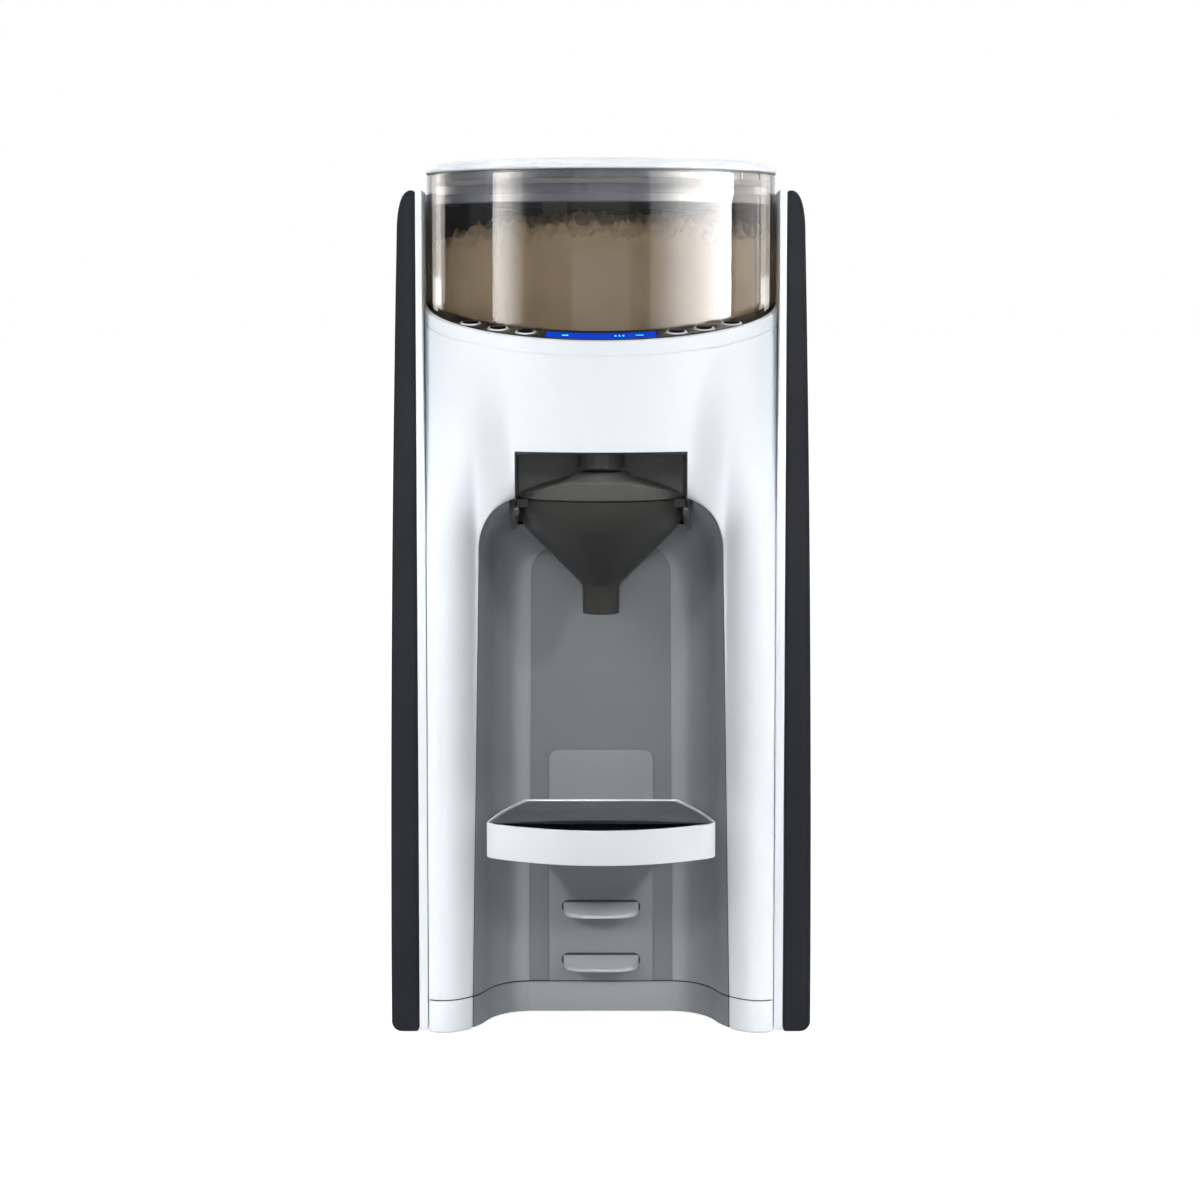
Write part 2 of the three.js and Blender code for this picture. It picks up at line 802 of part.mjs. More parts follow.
function backPanel() {
  const inner = backY - backWall;
  let panel = block(-liningOuterX, liningOuterX, inner, backY, skirtZ, backTopZ);
  for (let k = 0; k < ventCount; k++) {
    const z = ventLowZ + k * ventPitch;
    const halfLength = ventLength / 2;
    const slot = block(-halfLength, halfLength, inner - overrun, backY + overrun, z, z + ventHeight);
    panel = panel.subtract(slot);
  }
  const [halfWidth, halfHeight] = [inletWidth / 2 + gap, inletHeight / 2 + gap];
  panel = panel.subtract(block(
    inletX - halfWidth, inletX + halfWidth, inner - overrun, backY + overrun,
    inletZ - halfHeight, inletZ + halfHeight,
  ));
  for (const side of [-1, 1]) {
    panel = panel.subtract(
      deepRod(screwRadius + gap, side * screwX, screwZ, inner - overrun, backY + overrun),
    );
    panel = panel.subtract(
      deepRod(screwHeadRadius + gap, side * screwX, screwZ, backY - screwHeadHeight - gap, backY + overrun),
    );
  }
  return panel;
}

function rearScrew(side) {
  const head = deepRod(screwHeadRadius, side * screwX, screwZ, backY - screwHeadHeight, backY);
  const shank = deepRod(
    screwRadius, side * screwX, screwZ, backY - screwLength, backY - screwHeadHeight / 2,
  );
  return head.add(shank);
}

// Inlet with three flat pins in a deep socket
function powerInlet() {
  const face = backY - gap;
  const [x0, x1] = [inletX - inletWidth / 2, inletX + inletWidth / 2];
  const [z0, z1] = [inletZ - inletHeight / 2, inletZ + inletHeight / 2];
  const body = block(x0, x1, face - inletDepth, face, z0, z1);
  const socket = block(
    x0 + inletRim, x1 - inletRim, face - pinLength - inletRim, face + overrun, z0 + inletRim, z1 - inletRim,
  );
  let inlet = body.subtract(socket);
  const floorY = face - pinLength - 2 * inletRim;
  for (const side of [-1, 1]) {
    inlet = inlet.add(deepRod(pinRadius, inletX + side * pinPitch, inletZ, floorY, floorY + pinLength, 8));
  }
  return inlet;
}

// Upright bulkhead that carries the pump, heater and main board
function innerFrame() {
  const edge = liningInnerX - gap;
  const top = containerFloorZ - gap - bayFloor - gap;
  const foot = skirtZ + plateThickness + gap;
  const wall = block(-edge, edge, frameY, frameY + frameWall, foot, top);
  const flange = block(-edge, edge, frameY, frameY + frameFlange, foot, foot + frameWall);
  const hoseHole = deepRod(frameHoleRadius, heaterX, hosePassZ, frameY - overrun, frameY + overrun);
  return wall.add(flange).subtract(hoseHole);
}

function rearDeck() {
  const edge = liningInnerX - gap;
  const low = deckTopZ - deckWall;
  let deck = block(-edge, edge, frameY + frameWall + gap, backY - backWall - gap, low, deckTopZ);
  for (const side of [-1, 1]) {
    const x = side * screwX;
    const [inner, outer] = [backY - backWall - gap - lugSize, backY - backWall - gap];
    deck = deck.add(block(x - lugSize / 2, x + lugSize / 2, inner, outer, screwZ - lugSize / 2, low));
    deck = deck.subtract(deepRod(screwRadius + gap, x, screwZ, inner - overrun, backY));
  }
  return deck.subtract(rod(dockRadius + gap, 0, valveY, low - overrun, deckTopZ + overrun, midSteps));
}

// Tub that the powder container stands in, cut clear of the shell's sides
function powderBay() {
  const inner = containerRadius + bayClearance;
  const outer = inner + bayWall;
  const top = containerFloorZ - gap;
  const low = top - bayFloor;
  const cup = turned(
    [[0, low], [outer, low], [outer, bayTopZ], [inner, bayTopZ], [inner, top], [0, top]],
    0, containerY, roundSteps,
  );
  const edge = liningInnerX - gap;
  const between = block(-edge, edge, frontY, backY, low - overrun, bayTopZ + overrun);
  const frontTop = aboveRim(buttonCap - buttonRise + buttonTravel + gap).intersect(
    block(-bodyDepth, bodyDepth, frontY, containerY, low, bayTopZ + overrun),
  );
  const shaftHole = rod(shaftRadius + gap, 0, containerY, low - overrun, top + overrun);
  const outlet = rod(outletRadius, 0, containerY - outletReach, low - overrun, top + overrun, midSteps);
  return cup.intersect(between).subtract(frontTop).subtract(shaftHole).subtract(outlet);
}

function powderContainer() {
  const radius = containerRadius;
  const inner = radius - containerWall;
  const innerCorner = containerCorner - containerWall;
  const floor = containerFloorZ + containerFloor;
  const profile = [[0, containerFloorZ]];
  const steps = 3;
  for (let k = 0; k <= steps; k++) {
    const turn = (k / steps) * (Math.PI / 2);
    profile.push([
      radius - containerCorner * (1 - Math.sin(turn)),
      containerFloorZ + containerCorner * (1 - Math.cos(turn)),
    ]);
  }
  profile.push([radius, containerTopZ], [inner, containerTopZ]);
  for (let k = steps; k >= 0; k--) {
    const turn = (k / steps) * (Math.PI / 2);
    profile.push([inner - innerCorner * (1 - Math.sin(turn)), floor + innerCorner * (1 - Math.cos(turn))]);
  }
  profile.push([0, floor]);
  const hub = rod(hexRadius + 2 * hexClearance, 0, containerY, containerFloorZ - overrun, floor + overrun);
  const outlet = rod(
    outletRadius, 0, containerY - outletReach, containerFloorZ - overrun, floor + overrun, midSteps,
  );
  return turned(profile, 0, containerY, roundSteps).subtract(hub).subtract(outlet);
}

const hexSides = 6;

function portionWheel() {
  let wheel = rod(wheelRadius, 0, containerY, wheelZ, wheelZ + wheelThickness, roundSteps);
  for (let k = 0; k < pocketCount; k++) {
    const turn = (2 * Math.PI * k) / pocketCount;
    const x = outletReach * Math.sin(turn);
    const y = containerY - outletReach * Math.cos(turn);
    wheel = wheel.subtract(rod(outletRadius, x, y, wheelZ - overrun, wheelZ + wheelThickness + overrun));
  }
  return wheel.subtract(
    rod(hexRadius + hexClearance, 0, containerY, wheelZ - overrun, wheelZ + overrun, hexSides),
  );
}

function stirrer() {
  const low = wheelZ + wheelThickness + gap;
  const hub = rod(stirrerHubRadius, 0, containerY, low, low + stirrerHubHeight, midSteps);
  const halfThickness = bladeThickness / 2;
  const blades = block(
    -bladeReach, bladeReach, containerY - halfThickness, containerY + halfThickness, low, low + bladeHeight,
  );
  const well = rod(hexRadius + hexClearance, 0, containerY, low - overrun, shaftTopZ + gap, hexSides);
  return hub.add(blades).subtract(well);
}

// Height of the powder's heap at a point of its top
function heapZ(radius, angle) {
  const rise = powderHeap * Math.cos((radius / containerRadius) * (Math.PI / 2));
  const lump = powderLump * (Math.sin(powderLumps * angle) + Math.cos((powderLumps + 2) * angle)) / 2;
  return powderEdgeZ + rise + lump * (radius / containerRadius);
}

const heapShares = [1, 0.86, 0.68, 0.48, 0.3];

function formulaPowder() {
  const outer = containerRadius - containerWall - gap;
  const sweep = wheelRadius + powderClearance;
  const roof = wheelZ + wheelThickness + gap + bladeHeight + powderClearance;
  const hubRoof = wheelZ + wheelThickness + gap + stirrerHubHeight + powderClearance;
  const profile = [[0, hubRoof], [powderHubRadius, hubRoof], [powderHubRadius, roof], [sweep, roof]];
  profile.push([sweep, powderLowZ], [outer, powderLowZ]);
  const sides = profile.length;
  for (const share of heapShares) profile.push([outer * share, powderEdgeZ + powderHeap]);
  profile.push([0, powderEdgeZ + powderHeap]);
  const steps = 36;
  const lathe = new THREE.LatheGeometry(profile.map(([r, z]) => new THREE.Vector2(r, z)), steps);
  const place = lathe.attributes.position;
  for (let i = 0; i < place.count; i++) {
    if (i % profile.length < sides) continue;
    const [x, y] = [place.getX(i), place.getZ(i)];
    place.setY(i, heapZ(Math.hypot(x, y), Math.atan2(y, x)));
  }
  return solidOf(lathe.rotateX(Math.PI / 2).translate(0, containerY, 0));
}

function powderLid() {
  const groove = lidSkirtRadius - sealDepth;
  const profile = [
    [0, lidPlateZ], [lidSkirtRadius - lidSkirtWall, lidPlateZ], [lidSkirtRadius - lidSkirtWall, lidSkirtZ],
    [lidSkirtRadius, lidSkirtZ], [lidSkirtRadius, sealZ - gap], [groove, sealZ - gap],
    [groove, sealZ + sealHeight + gap], [lidSkirtRadius, sealZ + sealHeight + gap],
    [lidSkirtRadius, lidRimZ], [lidRadius, lidRimZ], [lidRadius, lidTopZ - lidEdge],
    [lidRadius - lidEdge, lidTopZ - lidEdge / 4], [0, lidTopZ],
  ];
  const post = block(
    postX - postWidth / 2, postX + postWidth / 2, postY - postThickness / 2, postY + postThickness / 2,
    postZ, lidPlateZ + gap,
  );
  return turned(profile, 0, containerY, roundSteps).add(post);
}

function lidSeal() {
  const inner = lidSkirtRadius - sealDepth + gap;
  const outer = containerRadius - containerWall - gap;
  const [low, high] = [sealZ, sealZ + sealHeight];
  const section = [[inner, low], [outer, low], [outer, high], [inner, high], [inner, low]];
  return turned(section, 0, containerY, roundSteps);
}

// Plan outline of a spur gear with straight-sided teeth, about its own centre
function gearOutline(teeth, phase) {
  const pitch = (gearModule * teeth) / 2;
  const halfTooth = (Math.PI * gearModule) / 4 - backlash / 2;
  const points = [];
  for (let k = 0; k < teeth; k++) {
    const middle = phase + (2 * Math.PI * k) / teeth;
    const corners = [
      [-toothFootShare, -toothRoot], [-toothTipShare, toothTip],
      [toothTipShare, toothTip], [toothFootShare, -toothRoot],
    ];
    for (const [across, rise] of corners) {
      const radius = pitch + rise * gearModule;
      const turn = middle + (across * halfTooth) / pitch;
      points.push([radius * Math.cos(turn), radius * Math.sin(turn)]);
    }
  }
  return points;
}

function gear(teeth, y, phase, bore) {
  const body = prism(gearOutline(teeth, phase), gearZ, gearZ + gearThickness).translate([0, y, 0]);
  return body.subtract(rod(bore, 0, y, gearZ - overrun, gearZ + gearThickness + overrun));
}

const motorY = containerY + (gearModule * (gearTeeth + pinionTeeth)) / 2;
const pinionPhase = Math.PI / pinionTeeth - Math.PI / 2; // a gap of the pinion faces a tooth of the gear

function driveShaft() {
  const round = rod(shaftRadius, 0, containerY, bracketZ + gap, containerFloorZ - gap);
  const hex = rod(hexRadius, 0, containerY, containerFloorZ - 2 * gap, shaftTopZ, hexSides);
  return round.add(hex);
}

function mixMotor() {
  const can = rod(motorRadius, 0, motorY, motorZ, motorZ + motorHeight, midSteps);
  const boss = rod(motorRadius / 3, 0, motorY, motorZ + motorHeight - gap, bracketZ + bracketWall);
  return can.add(boss);
}

function motorBracket() {
  const top = bracketZ + bracketWall;
  let bracket = block(-bracketHalfWidth, bracketHalfWidth, bracketFrontY, bracketRearY, bracketZ, top);
  const ceiling = containerFloorZ - gap - bayFloor - gap;
  const inset = bracketPostRadius + gap;
  for (const side of [-1, 1]) {
    for (const y of [bracketFrontY + inset, bracketRearY - inset]) {
      const postX = side * (bracketHalfWidth - inset);
      bracket = bracket.add(rod(bracketPostRadius, postX, y, bracketZ, ceiling, 10));
    }
  }
  const shaftHole = rod(shaftRadius + gap, 0, containerY, bracketZ - overrun, top + overrun);
  const bossHole = rod(motorRadius / 3 + gap, 0, motorY, bracketZ - overrun, top + overrun);
  return bracket.subtract(shaftHole).subtract(bossHole);
}

// Crescent between the head's inner circle and the container, as a plan shape
function crescent(frontRadius, rearRadius, endX) {
  const steps = 12;
  const points = [];
  for (let k = -steps; k <= steps; k++) {
    const x = (endX * k) / steps;
    points.push([x, headCentreY - Math.sqrt(frontRadius ** 2 - x ** 2)]);
  }
  for (let k = steps; k >= -steps; k--) {
    const x = (endX * k) / steps;
    points.push([x, containerY - Math.sqrt(rearRadius ** 2 - x ** 2)]);
  }
  return points;
}

const panelFrontRadius = headRadius - shellWall - 3 * gap;
const panelRearRadius = containerRadius + panelClearance;

function crescentPlate(frontRadius, rearRadius, endX, depth, thickness) {
  const column = prism(crescent(frontRadius, rearRadius, endX), containerFloorZ - overrun, blankTopZ);
  return column.intersect(rimSlab(depth, thickness));
}

// A rod square to the sloped panel at a plan place, between two heights above the panel
function panelRod(radius, x, y, low, high, steps = smallSteps) {
  const bar = new THREE.CylinderGeometry(radius, radius, high - low, steps).rotateX(Math.PI / 2);
  bar.translate(0, 0, (low + high) / 2);
  return solidOf(bar.rotateX(rimSlope).translate(x, y, rimZ(y)));
}

// Buttons stand halfway across the crescent
function buttonY(x) {
  const front = headCentreY - Math.sqrt(panelFrontRadius ** 2 - x ** 2);
  const rear = containerY - Math.sqrt(panelRearRadius ** 2 - x ** 2);
  return (front + rear) / 2;
}

function controlPanel() {
  let panel = crescentPlate(panelFrontRadius, panelRearRadius, panelEndX, 0, panelThickness);
  panel = panel.subtract(prism(
    crescent(
      panelFrontRadius - lcdMarginFront + gap, panelRearRadius + lcdMarginRear - gap, lcdHalfWidth + gap,
    ),
    containerFloorZ, blankTopZ,
  ));
  for (const place of buttonPlaces) {
    for (const side of [-1, 1]) {
      const x = side * place;
      panel = panel.subtract(panelRod(buttonRadius + gap, x, buttonY(x), -overrun, overrun));
    }
  }
  return panel;
}

function lcdDisplay() {
  return crescentPlate(
    panelFrontRadius - lcdMarginFront, panelRearRadius + lcdMarginRear, lcdHalfWidth, gap, lcdThickness,
  );
}

function button(x) {
  const y = buttonY(x);
  const cap = panelRod(buttonRadius, x, y, buttonRise - buttonCap, buttonRise);
  const stem = panelRod(buttonStemRadius, x, y, buttonRise - buttonCap - buttonStem, -buttonRise, 8);
  return cap.add(stem);
}

function controlBoard() {
  const depth = buttonStem + buttonCap - buttonRise + buttonTravel + gap;
  return crescentPlate(
    panelFrontRadius - gap, panelRearRadius + bayWall + gap, boardEndX, depth, boardThickness,
  );
}

function funnelHolder() {
  const inner = openingHalfWidth + gap;
  const outer = inner + holderWall;
  const low = openingTopZ + gap;
  const top = low + holderWall;
  const head = block(-outer, outer, holderTopFrontY, holderRearY + holderWall, low, top);
  const back = block(-outer, outer, holderRearY, holderRearY + holderWall, holderLowZ, top);
  let holder = head.add(back);
  for (const side of [-1, 1]) {
    const wall = block(
      Math.min(side * inner, side * outer), Math.max(side * inner, side * outer),
      holderFrontY, holderRearY + gap, holderLowZ, top,
    );
    const rail = block(
      Math.min(side * (inner - railWidth), side * (inner + gap)),
      Math.max(side * (inner - railWidth), side * (inner + gap)),
      railFrontY, holderRearY + gap, railLowZ, railTopZ,
    );
    holder = holder.add(wall).add(rail);
  }
  const chuteHole = rod(chuteRadius + gap, 0, funnelY, low - overrun, top + overrun, midSteps);
  const nozzleHole = rod(nozzleRadius + gap, 0, nozzleY, low - overrun, top + overrun);
  return holder.subtract(chuteHole).subtract(nozzleHole);
}

function funnel() {
  const outline = [[0, spoutLowZ], [spoutRadius, spoutLowZ], [spoutRadius, spoutTopZ]];
  outline.push([funnelRadius, funnelConeZ], [funnelRadius, funnelRimZ], [0, funnelRimZ]);
  const inner = funnelRadius - funnelWall;
  const bore = spoutRadius - spoutWall;
  const hollow = [[0, spoutLowZ - overrun], [bore, spoutLowZ - overrun], [bore, spoutTopZ + funnelWall]];
  hollow.push([inner, funnelConeZ + funnelWall], [inner, funnelRimZ + overrun], [0, funnelRimZ + overrun]);
  const tabs = block(
    -tabHalfWidth, tabHalfWidth, funnelY - tabLength / 2, funnelY + tabLength / 2,
    railTopZ + gap, funnelRimZ,
  );
  return turned(outline, 0, funnelY, 36).add(tabs).subtract(turned(hollow, 0, funnelY, 36));
}

// Crowned block over the funnel, shrunk by an inset
function coverCrownBlock(inset, lowZ) {
  const shape = new THREE.Shape();
  const half = coverHalfWidth - inset;
  const top = funnelRimZ + gap + coverCrown - inset;
  shape.moveTo(-half, lowZ);
  shape.lineTo(half, lowZ);
  shape.lineTo(half, funnelRimZ + 3 * gap);
  shape.quadraticCurveTo(half / 2, top, half / 4, top);
  shape.lineTo(-half / 4, top);
  shape.quadraticCurveTo(-half / 2, top, -half, funnelRimZ + 3 * gap);
  const crown = frontPrism(shape, funnelY - coverHalfWidth, funnelY + coverHalfWidth, 5);
  return crown.intersect(rod(half, 0, funnelY, lowZ, top + overrun, 36));
}

function funnelCover() {
  const low = funnelRimZ + gap;
  const top = low + coverCrown;
  const domeTop = top + coverDomeRise;
  const dome = turned(
    [
      [0, low], [coverDomeRadius, low], [coverDomeRadius, top],
      [powderHoleRadius + coverWall, domeTop], [0, domeTop],
    ],
    0, funnelY, midSteps,
  );
  const holes = rod(powderHoleRadius, 0, funnelY, low - overrun, domeTop + overrun, midSteps)
    .add(rod(nozzleRadius + gap, 0, nozzleY, low - overrun, domeTop + overrun));
  const underside = coverCrownBlock(coverWall, low - gap);
  const shellOnly = coverCrownBlock(0, low).subtract(underside);
  return shellOnly.add(dome).subtract(holes);
}

function powderChute() {
  const top = containerFloorZ - gap - bayFloor - gap;
  const flangeZ = openingTopZ + holderWall + 2 * gap;
  const tubeWall = turned(
    [
      [chuteRadius - chuteWall, chuteLowZ], [chuteRadius, chuteLowZ], [chuteRadius, flangeZ],
      [chuteFlange, flangeZ], [chuteFlange, flangeZ + flangeThickness],
      [chuteRadius, flangeZ + flangeThickness],
      [chuteRadius, top], [chuteRadius - chuteWall, top], [chuteRadius - chuteWall, chuteLowZ],
    ],
    0, funnelY, midSteps,
  );
  return tubeWall;
}

function waterNozzle() {
  const flangeZ = openingTopZ + holderWall + 2 * gap;
  return turned(
    [
      [nozzleBore, chuteLowZ], [nozzleRadius, chuteLowZ], [nozzleRadius, flangeZ], [nozzleFlange, flangeZ],
      [nozzleFlange, flangeZ + flangeThickness], [nozzleRadius, flangeZ + flangeThickness],
      [nozzleRadius, nozzleTopZ], [nozzleBore, nozzleTopZ], [nozzleBore, chuteLowZ],
    ],
    0, nozzleY, smallSteps,
  );
}

// Plan of a peg or of the socket that takes it, grown by a clearance
function pegShape(clearance) {
  const half = pegHalfWidth + clearance;
  const front = bayBackY - pegReach - clearance;
  const rear = bayBackY - gap;
  const shape = new THREE.Shape();
  shape.moveTo(-half, rear);
  shape.lineTo(-half, front + pegCorner);
  shape.quadraticCurveTo(-half, front, -half + pegCorner, front);
  shape.lineTo(half - pegCorner, front);
  shape.quadraticCurveTo(half, front, half, front + pegCorner);
  shape.lineTo(half, rear);
  return shape;
}

// A peg whose top falls towards its thin front edge
function peg(topZ, clearance) {
  const front = bayBackY - pegReach;
  const low = topZ - pegRise - pegFrontHeight - clearance;
  const column = prism(pegShape(clearance), low, topZ + clearance, 4);
  const slope = Math.atan2(pegRise, pegReach);
  const knife = new THREE.BoxGeometry(bodyDepth, bodyDepth, bodyDepth).translate(0, 0, bodyDepth / 2);
  knife.rotateX(slope).translate(0, front, topZ - pegRise + clearance);
  return column.subtract(solidOf(knife));
}

function trayRail() {
  const rear = bayBackY - gap;
  let rail = block(-railHalfWidth, railHalfWidth, rear - trayRailWall, rear, seamZ, trayRailTopZ);
  for (const top of pegTops) rail = rail.add(peg(top, 0));
  return rail;
}

// Plan of the tray: bowed front, sides that follow the bay
function trayShape(inset) {
  const rear = bayBackY - gap - trayRailWall - gap - inset;
  const front = frontY + traySagitta;
  const shape = new THREE.Shape();
  const [rearX, frontX] = [trayRearHalfWidth - inset, trayFrontHalfWidth - inset];
  shape.moveTo(rearX, rear);
  shape.lineTo(-rearX, rear);
  shape.quadraticCurveTo(-(rearX + frontX) / 2 - traySideBow, (rear + front) / 2, -frontX, front);
  shape.quadraticCurveTo(0, front - 2 * traySagitta + 2 * inset, frontX, front);
  shape.quadraticCurveTo((rearX + frontX) / 2 + traySideBow, (rear + front) / 2, rearX, rear);
  return shape;
}

function trayBody() {
  const steps = 16;
  const body = prism(trayShape(0), trayLowZ, trayTopZ, steps);
  const recess = prism(trayShape(trayPadInset), trayTopZ - trayPadDepth, trayTopZ + overrun, steps);
  const top = pegTops[pegTops.length - 1];
  return body.subtract(recess).subtract(peg(top, traySocketClearance));
}

function trayPad() {
  return prism(trayShape(trayPadInset + gap), trayTopZ - trayPadDepth + gap, trayTopZ - gap, 16);
}

function waterTank() {
  const low = deckTopZ + gap;
  const outer = prism(roundedPlan(tankHalfWidth, tankFrontY, tankRearY, tankCorner), low, tankTopZ, 6);
  const inner = prism(
    roundedPlan(
      tankHalfWidth - tankWall, tankFrontY + tankWall, tankRearY - tankWall, tankCorner - tankWall,
    ),
    low + tankWall, tankTopZ + overrun, 6,
  );
  const stemHole = rod(valveStemRadius + gap, 0, valveY, low - overrun, low + overrun);
  let tank = outer.subtract(inner).subtract(stemHole);
  for (const side of [-1, 1]) {
    const [x0, x1] = side < 0
      ? [-hingeHalfLength - hingeEar, -hingeHalfLength] : [hingeHalfLength, hingeHalfLength + hingeEar];
    const [rear, top] = [hingeY + hingeBarrelRadius, hingeZ + hingeBarrelRadius];
    const ear = block(x0, x1, tankRearY - tankWall, rear, hingeFootZ, top)
      .subtract(block(x0 - gap, x1 + gap, tankFrontY, hingeY - hingeBarrelRadius, tankTopZ, top + overrun))
      .subtract(block(x0 - gap, x1 + gap, tankFrontY, tankRearY - gap, hingeFootZ - gap, tankTopZ));
    tank = tank.add(ear);
  }
  return tank.subtract(hingeBore());
}

function hingeBore() {
  const end = hingeHalfLength + hingeEar + overrun;
  return crossRod(hingePinRadius + gap, hingeY, hingeZ, -end, end, 10);
}

function tankLid() {
  const low = tankTopZ + 2 * gap;
  const rear = tankRearY - gap;
  const plan = roundedPlan(tankHalfWidth, tankFrontY, rear, tankCorner);
  const plate = prism(plan, low, low + tankLidThickness, 6);
  const earClear = hingeHalfLength - gap;
  let lid = plate.add(crossRod(hingeBarrelRadius, hingeY, hingeZ, -earClear, earClear, 12));
  for (const side of [-1, 1]) {
    const [x0, x1] = [side * earClear, side * (hingeHalfLength + hingeEar + gap)].sort((a, b) => a - b);
    lid = lid.subtract(block(x0, x1, hingeY - hingeSweep, backY, low - overrun, hingeZ + overrun));
  }
  const lipX = lidLipWidth / 2;
  const lipY = tankFrontY + tankCorner / 2;
  const lip = block(
    -lipX, lipX, lipY, lipY + tankLidThickness, low + tankLidThickness / 2, low + tankLidThickness + lidLip,
  );
  return lid.add(lip).subtract(hingeBore());
}

function tankHingePin() {
  const end = hingeHalfLength + hingeEar;
  return crossRod(hingePinRadius, hingeY, hingeZ, -end, end, 10);
}

function tankValve() {
  const floor = deckTopZ + gap + tankWall;
  const low = floor + gap;
  const profile = [
    [0, deckTopZ - valveDrop], [valveStemRadius, deckTopZ - valveDrop], [valveStemRadius, low],
    [valveFlangeRadius, low], [valveFlangeRadius, low + valveFlangeHeight], [0, low + valveFlangeHeight],
  ];
  return turned(profile, 0, valveY, smallSteps);
}

// Cup under the tank with the pin that lifts its valve, and a hose barb
function tankDock() {
  const flangeTop = deckTopZ - deckWall - gap;
  const low = flangeTop - dockDepth + dockWall;
  const inner = dockRadius - dockWall;
  const cup = turned(
    [
      [0, low], [dockRadius, low], [dockRadius, flangeTop - dockWall], [dockFlange, flangeTop - dockWall],
      [dockFlange, flangeTop], [dockRadius, flangeTop], [dockRadius, deckTopZ], [inner, deckTopZ],
      [inner, low + dockWall], [0, low + dockWall],
    ],
    0, valveY, midSteps,
  );
  const pin = rod(pinRadius, 0, valveY, low + dockWall / 2, deckTopZ - valveDrop - gap, 8);
  const barb = rod(barbRadius, 0, valveY, low - barbLength, low + gap);
  return cup.add(pin).add(barb);
}

const barbLowZ = deckTopZ - deckWall - gap - dockDepth + dockWall - barbLength;
const shelfZ = skirtZ + plateThickness + gap + frameWall + gap;
const mountY = frameY + frameWall + gap;

function waterPump() {
  const half = pumpWidth / 2;
  const body = block(
    pumpX - half, pumpX + half, mountY, mountY + pumpDepth / 2, shelfZ, shelfZ + pumpHeight,
  );
  const motor = deepRod(
    pumpMotorRadius, pumpX, shelfZ + pumpHeight / 2, mountY + pumpDepth / 2 - gap,
    mountY + pumpDepth / 2 + pumpMotorLength, 20,
  );
  const outlet = rod(
    barbRadius, pumpX, mountY + pumpDepth / 4, shelfZ + pumpHeight - gap, shelfZ + pumpHeight + barbLength,
  );
  const inletTop = rod(
    barbRadius, pumpX - half / 2, mountY + pumpDepth / 4, shelfZ + pumpHeight - gap,
    shelfZ + pumpHeight + barbLength,
  );
  return body.add(motor).add(outlet).add(inletTop);
}

function heater() {
  const top = heaterLowZ + heaterHeight;
  const can = rod(heaterRadius, heaterX, heaterY, heaterLowZ, top, midSteps);
  const barbs = rod(barbRadius, heaterX, heaterY, heaterLowZ - barbLength, top + barbLength);
  const half = heaterRadius / 2;
  const clamp = block(
    heaterX - half, heaterX + half, mountY, heaterY, heaterLowZ + heaterRadius, top - heaterRadius,
  );
  return can.add(barbs).add(clamp);
}

function mainBoard() {
  const back = mountY + boardStandoff;
  const half = boardWidth / 2;
  const top = boardLowZ + boardHeight;
  let board = block(boardX - half, boardX + half, back, back + boardThickness, boardLowZ, top);
  const inset = lugSize / 2;
  for (const x of [boardX - half + inset, boardX + half - inset]) {
    for (const z of [boardLowZ + inset, top - inset]) {
      board = board.add(deepRod(barbRadius, x, z, mountY, back + gap, 8));
    }
  }
  const chipShares = [
    [-0.3, 0.25, 0.3, 0.2, 0.15], [0.25, 0.3, 0.2, 0.3, 0.2], [-0.05, 0.7, 0.4, 0.18, 0.1],
  ];
  for (const [xShare, zShare, widthShare, heightShare, riseShare] of chipShares) {
    const x = boardX + xShare * boardWidth;
    const z = boardLowZ + zShare * boardHeight;
    const [halfWidth, halfHeight] = [(widthShare * boardWidth) / 2, (heightShare * boardHeight) / 2];
    board = board.add(block(
      x - halfWidth, x + halfWidth, back + boardThickness - gap, back + riseShare * boardHeight,
      z - halfHeight, z + halfHeight,
    ));
  }
  return board;
}

const pumpTopZ = shelfZ + pumpHeight + barbLength + gap;
const pumpPortY = mountY + pumpDepth / 4;

// Way points of the hoses as shares of the way between their ends along x, y and z
const tankHoseShares = [
  [0, 0, 0.1], [0.27, 0.07, 0.29], [0.99, 0.34, 0.57], [1.24, 0.7, 0.76], [1, 1, 0.88],
];
const heaterHoseShares = [
  [0, 0, 0.32], [0.22, 0.68, 0.74], [0.58, 1.63, 0.8], [0.89, 1.31, 0.5], [1, 1, 0.74],
];
const heaterOutShares = [[0, 0, 0.37], [0, 0.29, 0.86]];
const nozzleHoseShares = [
  [-0.06, 0.28, 0.33], [0.06, 0.53, 0.79], [0.25, 0.87, 1.16], [0.64, 1.04, 1.35],
  [0.92, 1.03, 1.42], [1, 1, 1.25],
];

function routePoints(start, end, shares) {
  return shares.map((share) => share.map((part, axis) => lerp(start[axis], end[axis], part)));
}

function tankHose() {
  const start = [0, valveY, barbLowZ - gap];
  const end = [pumpX - pumpWidth / 4, pumpPortY, pumpTopZ];
  return tube([start, ...routePoints(start, end, tankHoseShares), end], hoseRadius, hoseSteps);
}

function heaterHose() {
  const start = [pumpX, pumpPortY, pumpTopZ];
  const end = [heaterX, heaterY, heaterLowZ - barbLength - gap];
  return tube([start, ...routePoints(start, end, heaterHoseShares), end], hoseRadius, hoseSteps);
}

function nozzleHose() {
  const start = [heaterX, heaterY, heaterLowZ + heaterHeight + barbLength + gap];
  const pass = [heaterX, frameY + frameWall / 2, hosePassZ];
  const end = [0, nozzleY, nozzleTopZ + gap];
  const rise = routePoints(start, pass, heaterOutShares);
  const forward = routePoints(pass, end, nozzleHoseShares);
  return tube([start, ...rise, pass, ...forward, end], hoseRadius, hoseSteps);
}

